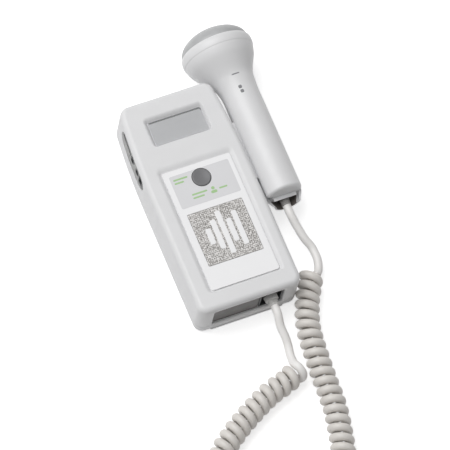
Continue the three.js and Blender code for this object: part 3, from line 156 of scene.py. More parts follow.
# The flare from the neck to the rim, as shares of its length and of its rise.
FLARE = ((0, 0), (0.22, 0.07), (0.37, 0.16), (0.52, 0.35), (0.67, 0.59), (0.81, 0.8), (0.93, 0.91), (1, 0.95))
FACE = Sizes(radius=22, root_radius=20.4, root=1, seat=0.1, rise=0.2)
# The lining sizes give a dark sheet inside the trough: painted shade of the opening under the handle's end.
TROUGH = Sizes(
    outline=((12, -8), (12, -11), (11.6, -13), (10.6, -15.2), (9.6, -17), (9.2, -18.5)), wall=2.4,
    end_thin=0.6, drop=1.5, liner=(0.02, 0.5), liner_drop=5, around=(20, 80, -40, 20), height=30,
)
# The lip is a white strip along the top of the probe's end opening: a painted highlight on its edge.
PAINTED_HIGHLIGHT_LIP = Sizes(bounds=(39.8, 55, 22.4, 23.5), sections=((-11.5, 0), (-14.4, 0), (-14.7, -0.2)))
MARKS = Sizes(
    line=(43.6, 48.8, 69.1, 0.35, 24), dots=((44.9, 47.1, 60.4, 1.1, 12), (45.1, 47.3, 57.3, 1.1, 12)),
    sunk=0.2, height=0.05,
)
RAIL = Sizes(start_y=3, end_y=43, neck_half=2, head_half=3.4, tip_x=39.15, cut_x=30, slot_depth=4)
BAY = Sizes(bounds=(41.6, 53.2, 14.2, 22.4), back_y=-4.5, wall=0.6, back_wall=0.9)
# lead_over and far_lead_over give how far the leads' lighter colour, which is painted light, runs along the
# tube.
CORD = Sizes(
    diameter=5, thickness=5.4, length=2.04, curl_radius=5.3, pitch=6.6, coil_z=8.3, curl_steps=26,
    route_steps=80, lead_steps=14, look=0.5, step=1.5, sides=14, inside=2, lead_over=9,
    far_lead_over=24, blend_from=(31, -98, 0), blend_to=(78.2, -62.6, 0),
)
COIL_ROUTE = (
    (49.3, -53), (48.3, -59.5), (44.5, -66.5), (37.9, -77.7), (31.6, -94.1),
    (29.2, -111.8), (27.8, -130), (26.6, -148.7), (23.3, -165.7), (19.5, -180),
    (11, -198), (-4, -213), (-24, -221), (-45, -219), (-61, -207),
    (-68, -189), (-64, -170), (-51.2, -154.2), (-37.8, -143.6), (-22.4, -134.4),
    (-8.1, -127.3), (5.2, -123), (12.6, -119.4), (17, -115.4), (18.6, -110),
)
PROBE_EXIT = (47.4, -18, 18.3)
PROBE_LEAD = ((48.9, -31, 15), (51.4, -40.4, 11.6))
UNIT_EXIT = (14.575, -77.5, 17.8)
UNIT_LEAD = ((14, -90, 14), (14.8, -98, 11))
CAMERA = Sizes(
    target=(6.7, -16.4, 16), azimuth=-36, elevation=65.5, roll=15.1, distance=3, width=0.2785,
    sensor=36, clip_end=20,
)
STUDIO = Sizes(world=0.26, lamp=8.3, lamp_place=(-1, 0.9, 2.6), lamp_side=2.4)
FLOOR = Sizes(side=12, drop=0.1, grey=0.76, glow=0.62, roughness=0.9)
WHITE = (1, 1, 1, 1)


# ---- materials ----
TONE_WIDTH = 14
GLOSS_WIDTH = 5
GLOSS_CHANGE = 0.12


def linear(colour):
    """An sRGB colour from 0 to 255 as the linear values that the shader takes."""
    shares = [c / 255 for c in colour]
    return [c / 12.92 if c <= 0.04045 else ((c + 0.055) / 1.055) ** 2.4 for c in shares]


def fill(tree, node, inputs):
    """Gives a node's inputs their values, or links them to other nodes' outputs."""
    for key, value in inputs.items():
        if isinstance(value, bpy.types.NodeSocket):
            tree.links.new(value, node.inputs[key])
        else:
            node.inputs[key].default_value = value


def add_node(tree, kind, inputs, **settings):
    """A new node with its settings and inputs."""
    node = tree.nodes.new(kind)
    for key, value in settings.items():
        setattr(node, key, value)
    fill(tree, node, inputs)
    return node


def noise(tree, coordinates, feature, detail):
    """Noise whose features are about that many millimetres wide."""
    inputs = {"Vector": coordinates, "Scale": 1 / (feature * MM), "Detail": detail}
    return add_node(tree, "ShaderNodeTexNoise", inputs).outputs["Fac"]


def spread(tree, value, low, high):
    """The value's middle range, spread from low to high."""
    inputs = {"Value": value, "From Min": 0.3, "From Max": 0.7, "To Min": low, "To Max": high}
    return add_node(tree, "ShaderNodeMapRange", inputs).outputs["Result"]


def mixed(tree, factor, first, second):
    """Two colours mixed by a value."""
    inputs = {"Factor": factor, "A": first, "B": second}
    return add_node(tree, "ShaderNodeMix", inputs, data_type="RGBA").outputs["Result"]


def new_material(name):
    made = bpy.data.materials.new(name)
    made.use_nodes = True
    return made


def material(name, colour, roughness, grain, relief, tint, metal=0.0, speckle=None):
    """A finish with fine grain in relief, and slow changes of colour and gloss.

    grain and relief are millimetres, tint is the share by which the colour varies, and speckle is the
    colour of fine spots."""
    made = new_material(name)
    tree = made.node_tree
    place = tree.nodes.new("ShaderNodeTexCoord").outputs["Object"]
    darker = [c * (1 - tint) for c in linear(colour)]
    lighter = [min(1, c * (1 + tint)) for c in linear(colour)]
    slow = noise(tree, place, TONE_WIDTH, 4)
    tone = mixed(tree, spread(tree, slow, 0, 1), (*darker, 1), (*lighter, 1))
    if speckle:
        spots = spread(tree, noise(tree, place, grain * 2, 1), -0.6, 1.6)
        tone = mixed(tree, spots, tone, (*linear(speckle), 1))
    change = roughness * GLOSS_CHANGE
    gloss = spread(tree, noise(tree, place, GLOSS_WIDTH, 3), roughness - change, roughness + change)
    height = noise(tree, place, grain, 3)
    bump = add_node(tree, "ShaderNodeBump", {"Strength": 1, "Distance": relief * MM, "Height": height})
    values = {"Metallic": metal, "Base Color": tone, "Roughness": gloss, "Normal": bump.outputs["Normal"]}
    fill(tree, tree.nodes["Principled BSDF"], values)
    return made


looks = Sizes(
    case=material("case_plastic", (225, 225, 226), 0.5, 0.22, 0.012, 0.012),
    probe=material("probe_plastic", (225, 225, 226), 0.42, 0.22, 0.01, 0.012),
    label=material("label_film", (244, 244, 245), 0.45, 0.5, 0.004, 0.006),
    print_grey=material("print_grey", (220, 220, 222), 0.36, 0.5, 0.004, 0.015),
    print_green=material("print_green", (164, 200, 144), 0.4, 0.5, 0.004, 0.05),
    neck_mark=material("neck_mark", (128, 129, 132), 0.5, 0.3, 0.004, 0.1),
    grille=material("grille_mesh", (232, 230, 228), 0.55, 0.45, 0.02, 0.03, speckle=(158, 155, 152)),
    button=material("button_rubber", (110, 110, 112), 0.45, 0.2, 0.015, 0.04),
    lens=material("display_window", (214, 216, 216), 0.08, 2, 0.002, 0.01),
    display=material("display_glass", (194, 194, 197), 0.22, 0.4, 0.003, 0.02),
    side=material("side_plastic", (150, 150, 149), 0.45, 0.2, 0.012, 0.03),
    surround=material("wheel_surround", (138, 138, 137), 0.45, 0.2, 0.012, 0.03),
    dark=material("dark_plastic", (52, 54, 55), 0.42, 0.2, 0.015, 0.06),
    end=material("end_plastic", (76, 73, 71), 0.45, 0.2, 0.015, 0.05),
    # Dark sheet inside the probe's trough: painted shade.
    liner=material("trough_painted_shade_sheet", (96, 91, 87), 0.5, 0.2, 0.015, 0.06),
    face=material("acoustic_face", (174, 175, 176), 0.4, 0.3, 0.006, 0.12),
    boot=material("boot_rubber", (208, 207, 205), 0.6, 0.2, 0.02, 0.05),
    # The probe's boot is a darker copy of the boot rubber: painted shade of the trough it sits in.
    probe_boot=material("probe_boot_painted_shade_rubber", (146, 144, 142), 0.6, 0.2, 0.02, 0.05),
    # The cord has one jacket: the coil's colour is darker, painted shade among its curls, and the leads'
    # colour lighter, painted light on the straight runs.
    cord=material("cord_jacket_painted_shade", (221, 217, 212), 0.42, 0.3, 0.012, 0.03),
    lead=material("cord_lead_painted_light", (242, 240, 238), 0.4, 0.3, 0.012, 0.015),
    board=material("solder_mask", (38, 98, 62), 0.35, 0.6, 0.02, 0.12, speckle=(58, 126, 84)),
    steel=material("zinc_steel", (184, 186, 189), 0.32, 0.3, 0.01, 0.08, metal=1.0),
    cell=material("cell_wrap", (83, 88, 94), 0.3, 0.8, 0.006, 0.05),
    cone=material("cone_paper", (60, 56, 52), 0.8, 0.4, 0.08, 0.1, speckle=(82, 77, 70)),
    crystal=material("crystal_ceramic", (205, 187, 138), 0.5, 0.3, 0.02, 0.06),
)
looks.lens.node_tree.nodes["Principled BSDF"].inputs["Alpha"].default_value = 0.16


# ---- outlines ----
def around(u, v, half_u, half_v):
    """Bounds about a middle."""
    return (u - half_u, u + half_u, v - half_v, v + half_v)


def grown(bounds, by):
    """Bounds moved out by that much on every side."""
    u0, u1, v0, v1 = bounds
    return (u0 - by, u1 + by, v0 - by, v1 + by)


def quarter(steps):
    """The angles of a quarter turn, in even steps."""
    return [pi / 2 * i / steps for i in range(steps + 1)]


def circle(x, y, radius, segments):
    """A circle's points, as an outline."""
    turns = [2 * pi * i / segments for i in range(segments)]
    return [(x + radius * cos(turn), y + radius * sin(turn)) for turn in turns]


def rounded_outline(bounds, radius, steps=8):
    """A rectangle with round corners, as (u, v) points."""
    u0, u1, v0, v1 = bounds
    radius = min(radius, (u1 - u0) / 2, (v1 - v0) / 2)
    left, right = u0 + radius, u1 - radius
    bottom, top = v0 + radius, v1 - radius
    outline = []
    for turn, (u, v) in enumerate(((right, top), (left, top), (left, bottom), (right, bottom))):
        for i in range(steps + 1):
            angle = pi / 2 * (turn + i / steps)
            outline.append((u + radius * cos(angle), v + radius * sin(angle)))
    return outline


def refined(outline, longest=2.5):
    """The same outline with its long sides divided, for surfaces that bend along them."""
    points = []
    for (u0, v0), (u1, v1) in zip(outline, outline[1:] + outline[:1]):
        parts = max(1, ceil(hypot(u1 - u0, v1 - v0) / longest))
        points += [(u0 + (u1 - u0) * i / parts, v0 + (v1 - v0) * i / parts) for i in range(parts)]
    return points


def raised(axis, outline, level):
    """An outline's points at that level along an axis: its own two are the other axes, in order."""
    place = "xyz".index(axis)
    return [(*point[:place], level, *point[place:]) for point in outline]


# ---- meshes ----
def add_object(name, data):
    """A new object in the scene."""
    made = bpy.data.objects.new(name, data)
    bpy.context.scene.collection.objects.link(made)
    return made


def make_object(name, points, faces):
    """A mesh object from points of the unit's frame, with its faces turned out."""
    mesh = bpy.data.meshes.new(name)
    mesh.from_pydata([to_row(p) for p in points], [], faces)
    shape = bmesh.new()
    shape.from_mesh(mesh)
    bmesh.ops.recalc_face_normals(shape, faces=shape.faces)
    shape.to_mesh(mesh)
    shape.free()
    return add_object(name, mesh)


def loft(name, rings, closed=False):
    """A solid through rings of equally many points, capped unless it closes on itself."""
    count = len(rings[0])
    points = [p for ring in rings for p in ring]
    faces = []
    for i in range(len(rings) if closed else len(rings) - 1):
        start = i * count
        after = (i + 1) % len(rings) * count
        for j in range(count):
            k = (j + 1) % count
            faces.append((start + j, start + k, after + k, after + j))
    if not closed:
        faces.append(tuple(range(count)))
        faces.append(tuple(len(points) - count + j for j in range(count)))
    return make_object(name, points, faces)


def block(name, axis, bounds, sections, corner, reach=(1, 1, 1, 1)):
    """A solid with a rounded rectangular section. sections are (level, how far out from the bounds).

    reach gives how much of that each side takes."""
    u0, u1, v0, v1 = bounds
    mean = sum(reach) / 4
    rings = []
    for level, out in sections:
        sides = (u0 - out * reach[0], u1 + out * reach[1], v0 - out * reach[2], v1 + out * reach[3])
        outline = rounded_outline(sides, max(0.05, corner + out * mean))
        rings.append(raised(axis, outline, level))
    return loft(name, rings)


def bar(axis, bounds, start, end, corner, name="bar"):
    """A block with the same section from start to end."""
    return block(name, axis, bounds, [(start, 0), (end, 0)], corner)


def soft_end(start, end, edge):
    """Sections of a bar whose edge is broken at its end."""
    step = copysign(edge, end - start)
    return sorted([(start, 0), (end - step, 0), (end, -edge)])


def turned(name, profile, axis, centre, segments=64, closed=False):
    """A solid turned about an axis through centre. The profile is (radius, level) pairs."""
    rings = [raised(axis, circle(*centre, max(radius, 0.01), segments), level) for radius, level in profile]
    return loft(name, rings, closed)


def rod(axis, centre, radius, start, end, segments=64):
    """A round bar, to cut with."""
    return turned("rod", [(radius, start), (radius, end)], axis, centre, segments)


def combine(piece, tools, operation="DIFFERENCE"):
    """Cuts the tools out of the piece, or joins them to it, and removes them."""
    for tool in tools:
        step = piece.modifiers.new("cut", "BOOLEAN")
        step.operation = operation
        step.solver = "MANIFOLD"
        step.object = tool
    graph = bpy.context.evaluated_depsgraph_get()
    shaped = bpy.data.meshes.new_from_object(piece.evaluated_get(graph))
    piece.modifiers.clear()
    piece.data = shaped
    for tool in tools:
        bpy.data.objects.remove(tool)
    return piece


def lip_sections(level, reach, first=14, steps=7):
    """Sections of a cutter whose lip is rounded, from the wall up to the open side.

    level is the surface's, and reach is how far the lip goes out and, signed, down from it."""
    outer = abs(reach)
    sections = []
    for i in range(steps + 1):
        angle = radians(90 + (first - 90) * i / steps)
        sections.append((level - reach * (1 - cos(angle)), outer - outer * sin(angle)))
    sections.append((level + reach, sections[-1][1]))
    return sections


def slope_sections(low, high, steps=12):
    """Sections of a cutter whose wall rises from its floor and eases over into the face, one reach wide."""
    turns = quarter(steps)
    sections = [(low + (high - low) * sin(turn), i / steps) for i, turn in enumerate(turns)]
    sections.append((high + 2, 1))
    return sections


def paint(piece, finish):
    """One finish in the place of any that the piece has."""
    piece.data.materials.clear()
    piece.data.materials.append(finish)


def dress(piece, finish, replaced=(), body="root", sharp=34):
    """Finish, smooth shading, the body that it rides on and the CAD nodes that it stands for."""
    paint(piece, finish)
    piece.data.polygons.foreach_set("use_smooth", [True] * len(piece.data.polygons))
    piece.data.set_sharp_from_angle(angle=radians(sharp))
    weighted = piece.modifiers.new("weighted", "WEIGHTED_NORMAL")
    weighted.keep_sharp = True
    if body:
        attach(piece, body)
    if replaced:
        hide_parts(*replaced)


def screw(node, body, x, y, sizes):
    """A pan head with a cross recess, looking down, over the CAD screw."""
    radius, bottom = sizes.radius, sizes.bottom
    top = bottom + sizes.height
    profile = [(0, top), (radius, top), (radius, bottom + 0.5), (radius - 0.4, bottom), (0, bottom)]
    head = turned(node + "_head", profile, "z", (x, y), 40)
    arm = radius * SCREW_CROSS.reach
    half = SCREW_CROSS.half
    for half_x, half_y in ((arm, half), (half, arm)):
        bounds = around(x, y, half_x, half_y)
        combine(head, [bar("z", bounds, bottom - 1, bottom + SCREW_CROSS.depth, SCREW_CROSS.corner)])
    dress(head, looks.steel, [node], body)


def screw_well(x, y, sizes):
    """The cutter for a screw head's room."""
    return rod("z", (x, y), sizes.radius + GAP, *sizes.well, 32)


def boot(name, sizes, start, end, centre):
    """A ribbed strain relief with its bore, from its tip to its collar."""
    profile = [(radius, start + along) for radius, along in sizes.tip]
    for i in range(3):
        level = start + sizes.first_rib + sizes.rib_pitch * i
        profile += [(radius, level + along) for radius, along in sizes.rib]
    profile += [(radius, start + along) for radius, along in sizes.collar]
    profile += [(sizes.collar[-1][0], end), (sizes.tip[0][0], end)]
    return turned(name, profile, "y", centre, 40, closed=True)


# ---- the case ----
def side_inset(y):
    """How far each side of the case has moved in: it narrows towards the display end."""
    share = max(0, (y - CASE.taper_start) / CASE.taper_length)
    return CASE.end_taper * share * share


def side_wall(y):
    """Where the outside of the left side lies."""
    return -CASE.half_width + side_inset(y)


def side_face(y):
    """Where the face of the side panel lies."""
    return side_wall(y) + SIDE.depth


def case_block(name, inset, sections):
    """A solid over the plan of the case, moved in by inset. sections are (height, how far out from it)."""
    rings = []
    for level, out in sections:
        half_width = CASE.half_width - inset + out
        half_length = CASE.half_length - inset + out
        corner = max(0.05, CASE.corner - inset + out)
        outline = rounded_outline(around(0, 0, half_width, half_length), corner, 10)
        shares = [i / CASE.taper_steps for i in range(CASE.taper_steps - 1)]
        ys = [CASE.taper_start + CASE.taper_length * share for share in shares]
        left = [(-half_width, y) for y in reversed(ys)]
        right = [(half_width, y) for y in ys]
        top_half = len(outline) // 2
        outline = outline[:top_half] + left + outline[top_half:] + right
        rings.append(raised("z", [(x - copysign(side_inset(y), x), y) for x, y in outline], level))
    return loft(name, rings)


def case_outside(name, bottom, top):
    """The case's outside between two heights, with its long edges rounded."""
    edge = CASE.edge
    seam = CASE.seam_edge
    turns = quarter(9)
    if bottom == 0:
        sections = [(edge - edge * cos(turn), edge * sin(turn) - edge) for turn in turns]
        sections += [(top - seam, 0), (top, -seam)]
    else:
        sections = [(bottom, -seam), (bottom + seam, 0)]
        sections += [(top - edge + edge * sin(turn), edge * cos(turn) - edge) for turn in turns]
    return case_block(name, 0, sections)


def slanted(outline, depth):
    """The outline's points that deep in the slanting side."""
    return [(side_wall(y) + depth, y, z) for y, z in outline]


def stadium(out):
    """The outline of the side's opening, moved out by that much."""
    return refined(rounded_outline(grown(SIDE.bounds, out), inf, 16))


def side_cutter():
    """The stadium opening of the side, its lip rounded along the slanting wall."""
    sections = [(6, 0)] + lip_sections(0, -SIDE.lip) + [(-2, SIDE.lip)]
    return loft("side", [slanted(stadium(out), level) for level, out in sections])


def case_front():
    shell = case_outside("case_front", CASE.seam + GAP / 2, CASE.height)
    slope = slope_sections(WINDOW.floor, CASE.height)
    window = block("window", "z", WINDOW.bounds, slope, WINDOW.corner, WINDOW.slopes)
    display = bar("z", grown(WINDOW.bounds, -WINDOW.ledge), INSIDE, CASE.height, WINDOW.corner)
    slope = slope_sections(LABEL.seat, CASE.height)
    recess = block("recess", "z", grown(LABEL.bounds, GAP), slope, LABEL.corner, LABEL.slopes)
    sound = rod("z", (FACE_X, GRILLE.y), GRILLE.sound_radius, INSIDE, CASE.height)
    button = rod("z", (FACE_X, BUTTON.y), BUTTON.radius + GAP, INSIDE, ABOVE)
    end_sections = [(END.deep_y, 0)] + lip_sections(-CASE.half_length, -END.lip)
    end = block("end", "y", END.bounds, end_sections, END.corner)
    hollow = case_block("hollow", CASE.wall, [(BELOW, 0), (CASE.ceiling, 0)])
    combine(shell, [hollow, window, display, recess, sound, button, side_cutter(), end])
    dress(shell, looks.case, ["front_shell"])


def case_back():
    shell = case_outside("case_back", 0, CASE.seam - GAP / 2)
    room = DOOR.half_width + GAP
    door = bar("z", (-room, room, DOOR.room_y, DOOR.end_y + GAP), BELOW, DOOR.top + GAP, 1)
    bay = bar("z", DOOR.bay, BELOW, CASE.floor + 1, 0.6)
    wells = []
    for number, (x, y) in enumerate(CASE_SCREW.places):
        wells.append(screw_well(x, y, CASE_SCREW))
        screw(f"case_screw_{number + 1}", "root", x, y, CASE_SCREW)
    hollow = case_block("hollow", CASE.wall, [(CASE.floor, 0), (INSIDE, 0)])
    combine(shell, [hollow, door, bay, *wells])
    dress(shell, looks.case, ["rear_shell"])


def battery_door():
    """The sliding cover with its finger grips and its arrow."""
    bounds = (-DOOR.half_width, DOOR.half_width, -CASE.half_length, DOOR.end_y)
    plate = block("door_plate", "z", bounds, soft_end(DOOR.top, DOOR.bottom, DOOR.edge), DOOR.corner)
    grip_sections = [(BELOW, 0.2), (DOOR.bottom + 0.5, -0.15)]
    cutters = []
    for i in range(DOOR.grips):
        y = DOOR.grip_y + DOOR.grip_pitch * (i - (DOOR.grips - 1) / 2)
        cutters.append(block("grip", "z", around(0, y, *DOOR.grip_half), grip_sections, 0.6))
    cutters.append(loft("arrow", [raised("z", DOOR.arrow, level) for level in (BELOW, DOOR.bottom + 0.4)]))
    combine(plate, cutters)
    dress(plate, looks.case, ["battery_door"], "door")


# ---- the face ----
def printed(name, outline, surface, finish):
    """A flat area as thin as its ink, on a surface at that height."""
    bottom = surface - INK.sunk
    plate = loft(name, [raised("z", outline, level) for level in (bottom, bottom + INK.height)])
    dress(plate, finish)


def window_glass():
    """The display film that fills the window's floor, with a dark strip along its upper edge that is painted
    shadow of the window's upper wall, and the clear pane.
    """
    bounds = grown(WINDOW.bounds, WINDOW.film_reach)
    film = bar("z", bounds, *WINDOW.film, WINDOW.corner, "display_film")
    dress(film, looks.display)
    # A dark strip printed along the film's top edge: painted shadow of the window's upper wall.
    printed("display_painted_shadow", PAINTED_SHADOW_LINE, WINDOW.film[1], looks.dark)
    pane = block("window_glass", "z", grown(WINDOW.bounds, -GAP), WINDOW.pane, WINDOW.corner)
    dress(pane, looks.lens, ["display_lens"])


def label_overlay():
    low, high = node_box("label_overlay")
    sections = soft_end(low.z, high.z, LABEL.film_edge)
    film = block("label_film", "z", (low.x, high.x, low.y, high.y), sections, LABEL.film_corner)
    half = GRILLE.side / 2 + GAP
    hole = bar("z", around(FACE_X, GRILLE.y, half, half), *OVERLAY_CUT, 0.8)
    button = rod("z", (FACE_X, BUTTON.y), BUTTON.radius + GAP, *OVERLAY_CUT)
    combine(film, [hole, button])
    dress(film, looks.label, ["label_overlay"])


def printed_marks():
    """The grey printed area round the button, with its small green marks."""
    ink = node_box("label_overlay")[1].z
    top = ink + INK.height
    area = bar("z", PRINT.bounds, ink - INK.sunk, top, 1, "print_area")
    combine(area, [rod("z", (FACE_X, BUTTON.y), BUTTON.radius + PRINT.button_room, *OVERLAY_CUT)])
    dress(area, looks.print_grey)
    marks = {}
    for number, (x, y, length) in enumerate(GREEN.lines):
        bounds = (x, x + length, y - GREEN.line_half, y + GREEN.line_half)
        marks[f"green_line_{number + 1}"] = rounded_outline(bounds, GREEN.line_corner, 4)
    marks["green_dot"] = circle(*GREEN.dot, 24)
    marks["green_body"] = rounded_outline(GREEN.body, GREEN.body_corner, 6)
    for name, outline in marks.items():
        printed(name, outline, top, looks.print_green)


def grille_holes(low, high, bars):
    """The cutter for the grille's holes, of chance sizes, with none under a bar."""
    seeded = random.Random(7)
    reach = GRILLE.bar_width / 2 + 0.1
    count = GRILLE.hole_sides
    offsets = [GRILLE.hole_pitch * (i - (GRILLE.holes - 1) / 2) for i in range(GRILLE.holes)]
    points = []
    faces = []
    for across in offsets:
        for along in offsets:
            radius = seeded.uniform(*GRILLE.hole_radii)
            x = FACE_X + across
            if any(abs(x - b) < reach and abs(along) < half + 0.1 for b, half in bars):
                continue
            start = len(points)
            outline = circle(x, GRILLE.y + along, radius, count)
            points += raised("z", outline, low) + raised("z", outline, high)
            faces.append(tuple(start + k for k in range(count)))
            faces.append(tuple(start + count + k for k in range(count)))
            for k in range(count):
                m = (k + 1) % count
                faces.append((start + k, start + m, start + count + m, start + count + k))
    return make_object("holes", points, faces)


def speaker_grille():
    """The perforated square of the speaker with its raised level bars."""
    low, high = node_box("speaker_grille")
    top = high.z - GRILLE.bar_raise
    edge = GRILLE.edge
    bounds = (low.x, high.x, low.y, high.y)
    plate = block("grille_plate", "z", bounds, soft_end(low.z, top, edge), 0.5)
    bars = []
    for i, share in enumerate(GRILLE.bar_shares):
        x = FACE_X + GRILLE.bar_pitch * (i - (len(GRILLE.bar_shares) - 1) / 2)
        bars.append((x, share * GRILLE.side / 2))
    combine(plate, [grille_holes(low.z - 1, high.z + 1, bars)])
    dress(plate, looks.grille, ["speaker_grille"])
    for number, (x, half) in enumerate(bars):
        bounds = around(x, GRILLE.y, GRILLE.bar_width / 2, half)
        sections = soft_end(top - 0.3, high.z, edge)
        level_bar = block(f"level_bar_{number + 1}", "z", bounds, sections, GRILLE.bar_corner)
        dress(level_bar, looks.label)


def power_button():
    """The round button: its stem, its flange under the face and its dished top."""
    low, high = node_box("power_button")
    radius, edge = BUTTON.radius, BUTTON.edge
    flange_low, flange_high = BUTTON.flange_levels
    profile = [(0, low.z), (BUTTON.stem, low.z), (BUTTON.stem, flange_low)]
    profile += [(BUTTON.flange, flange_low), (BUTTON.flange, flange_high), (radius, flange_high)]
    for angle in quarter(6):
        profile.append((radius - edge + edge * cos(angle), high.z - edge + edge * sin(angle)))
    for i in range(1, 9):
        share = 1 - i / 8
        profile.append(((radius - BUTTON.dish_rim) * share, high.z - BUTTON.dish * (1 - share * share)))
    button = turned("button_cap", profile, "z", (FACE_X, BUTTON.y))
    dress(button, looks.button, ["power_button"], "power_key")


# ---- the side and the end ----
def side_controls():
    """The panel in the side's opening, with its wheel, its two jacks and its charging socket."""
    face = stadium(-SIDE.edge - SIDE.gap)
    edge = stadium(-SIDE.gap)
    rings = [slanted(face, SIDE.depth), slanted(edge, SIDE.depth + SIDE.edge), raised("x", edge, SIDE.back_x)]
    panel = loft("side_plate", rings)
    cutters = [bar("x", WHEEL.slot, *SIDE.cut, 0.6)]
    for y in JACK.ys:
        cutters.append(rod("x", (y, JACK.z), JACK.barrel + GAP, *SIDE.cut, 40))
    cutters.append(bar("x", CHARGE.room, *SIDE.cut, 0.5))
    combine(panel, cutters)
    dress(panel, looks.side, ["side_panel"])
    side_patch("wheel_surround", WHEEL.surround, 5.6, WHEEL.slot, looks.surround)
    side_patch("charge_surround", CHARGE.surround, 1.6, CHARGE.room, looks.dark)
    ridged_wheel()
    charge_rim()
    for name, y in zip(("phones_jack", "output_jack"), JACK.ys):
        jack_ring(name, y)


def side_patch(name, bounds, corner, hole, finish):
    """A thin plate on the side panel round an opening, following the panel's slant."""
    outline = refined(rounded_outline(bounds, corner, 10))
    rings = [slanted(outline, depth) for depth in SIDE.patch_depths]
    patch = combine(loft(name, rings), [bar("x", hole, *SIDE.cut, 0.5)])
    dress(patch, finish)


def charge_rim():
    """The charging socket's shell, its open front just behind the panel's face."""
    front = side_face(CHARGE.y) + CHARGE.edge
    sections = soft_end(CHARGE.back_x, front, CHARGE.edge)
    shell = block("charge_rim", "x", grown(CHARGE.room, -GAP), sections, 0.5)
    combine(shell, [bar("x", grown(CHARGE.room, -CHARGE.wall), front - 1, CHARGE.back_x - 1, 0.3)])
    dress(shell, looks.dark, ["charge_socket"])


def ridged_wheel():
    """The thumb wheel with rounded ridges round its edge."""
    outline = []
    count = WHEEL.ridges * WHEEL.ridge_steps
    for i in range(count):
        angle = 2 * pi * i / count
        ridge = 0.5 + 0.5 * cos(WHEEL.ridges * angle)
        radius = WHEEL.radius - WHEEL.ridge_depth * (1 - ridge)
        outline.append((radius * cos(angle), radius * sin(angle)))
    rings = []
    half = WHEEL.thickness / 2
    flat = half - WHEEL.edge
    for level, share in ((-half, WHEEL.edge_share), (-flat, 1), (flat, 1), (half, WHEEL.edge_share)):
        ring = [(WHEEL.x + u * share, WHEEL.y + v * share) for u, v in outline]
        rings.append(raised("z", ring, WHEEL.z + level))
    wheel = loft("thumb_wheel", rings)
    dress(wheel, looks.button, ["volume_wheel"], "wheel", 50)


def jack_ring(node, y):
    """A jack's barrel with its round lip and bore, over the CAD body of the jack."""
    front = side_face(y) - JACK.proud
    back = front + JACK.depth
    outer, bore, lip = JACK.barrel, JACK.bore, JACK.lip
    profile = [(bore, back), (bore, front + lip), (bore + lip, front), (outer - lip, front)]
    profile += [(outer, front + lip), (outer, back)]
    ring = turned(node + "_barrel", profile, "x", (y, JACK.z), 40, closed=True)
    dress(ring, looks.dark, [node])
    profile = [(0, back - JACK.floor), (bore, back - JACK.floor), (bore, back), (0, back)]
    floor = turned(node + "_floor", profile, "x", (y, JACK.z), 24)
    dress(floor, looks.steel)


def end_plate():
    left, _, bottom, top = grown(END.bounds, -GAP)
    bounds = (left, END.split - GAP / 2, bottom, top)
    sections = soft_end(node_box("end_panel")[1].y, END.panel_y, END.panel_edge)
    plate = block("end_plate", "y", bounds, sections, END.panel_corner)
    dress(plate, looks.end, ["end_panel"])


def cord_bay():
    """The dark tray that the cord's plug sits in."""
    _, right, bottom, top = grown(END.bounds, -GAP)
    bounds = (END.split + GAP / 2, right, bottom, top)
    sections = soft_end(END.back_y, END.panel_y, END.tray_edge)
    tray = block("bay_tray", "y", bounds, sections, END.panel_corner)
    hollow = bar("y", grown(bounds, -END.tray_wall), -CASE.half_length - 1, END.back_y - 1, 0.8)
    hole = bar("y", grown(PLUG.bounds, GAP), END.back_y - 4, END.back_y + 2, 0.6)
    combine(tray, [hollow, hole])
    dress(tray, looks.dark, ["cord_bay"])


def unit_boot():
    """The plug in the bay and its ribbed strain relief."""
    sections = soft_end(node_box("unit_strain_relief")[1].y, PLUG.front_y, PLUG.edge)
    plug = block("plug_block", "y", PLUG.bounds, sections, 1.2)
    dress(plug, looks.end, ["unit_strain_relief"])
    relief = boot("unit_boot", UNIT_BOOT, *UNIT_BOOT.ends, (PLUG.x, PLUG.z))
    dress(relief, looks.boot, sharp=50)


# ---- the probe ----
def probe_outline():
    """The probe's outside as (radius, y) pairs, from its end to its rim."""
    profile = []
    for angle in quarter(8):
        inset = PROBE.end_round * (1 - sin(angle))
        profile.append((PROBE.radius - inset, PROBE.end_y + PROBE.end_round * (1 - cos(angle))))
    flare = PROBE.rim_y - PROBE.neck_y
    rise = PROBE.rim_radius - PROBE.radius
    route = [(PROBE.neck_y - PROBE.neck_lead, PROBE.radius, 0)]
    for u, v in FLARE:
        route.append((PROBE.neck_y + u * flare, PROBE.radius + v * rise, 0))
    profile += [(radius, y) for y, radius, _ in smooth_route(route, 5)]
    half = PROBE.rim_length / 2
    for i in range(13):
        angle = pi * (i / 12 - 0.5)
        bulge = PROBE.rim_rounds[i > 6] * (1 - cos(angle))
        profile.append((PROBE.rim_radius - bulge, PROBE.rim_y + half + half * sin(angle)))
    return profile


def probe_body():
    """The profile of the hollow body: its outside, then its inside back to the end."""
    outline = probe_outline()
    inner = [(r - PROBE.wall, y + PROBE.wall) for r, y in outline if y > PROBE.end_y + PROBE.end_wall]
    inner = [(r, y) for r, y in inner if y < PROBE.rim_y - 1]
    end = PROBE.rim_y + PROBE.rim_length
    inside = PROBE.rim_radius - PROBE.rim_wall
    ring = [(inside, end - 0.01), (inside, PROBE.rim_y)]
    return [(0, PROBE.end_y)] + outline + ring + inner[::-1] + [(0, inner[0][1])]


def head_shift(y):
    """How far the flare has eased off the handle's axis, towards the unit."""
    share = min(max((y - PROBE.neck_y) / (PROBE.rim_y - PROBE.neck_y), 0), 1)
    return PROBE.head_offset * share * share * (3 - 2 * share)


def probe_turned(name, profile):
    """A solid turned about the probe's line, which shifts along the flare."""
    circles = [(circle(PROBE.x - head_shift(y), PROBE.z, max(r, 0.01), 96), y) for r, y in profile]
    return loft(name, [raised("y", outline, y) for outline, y in circles])


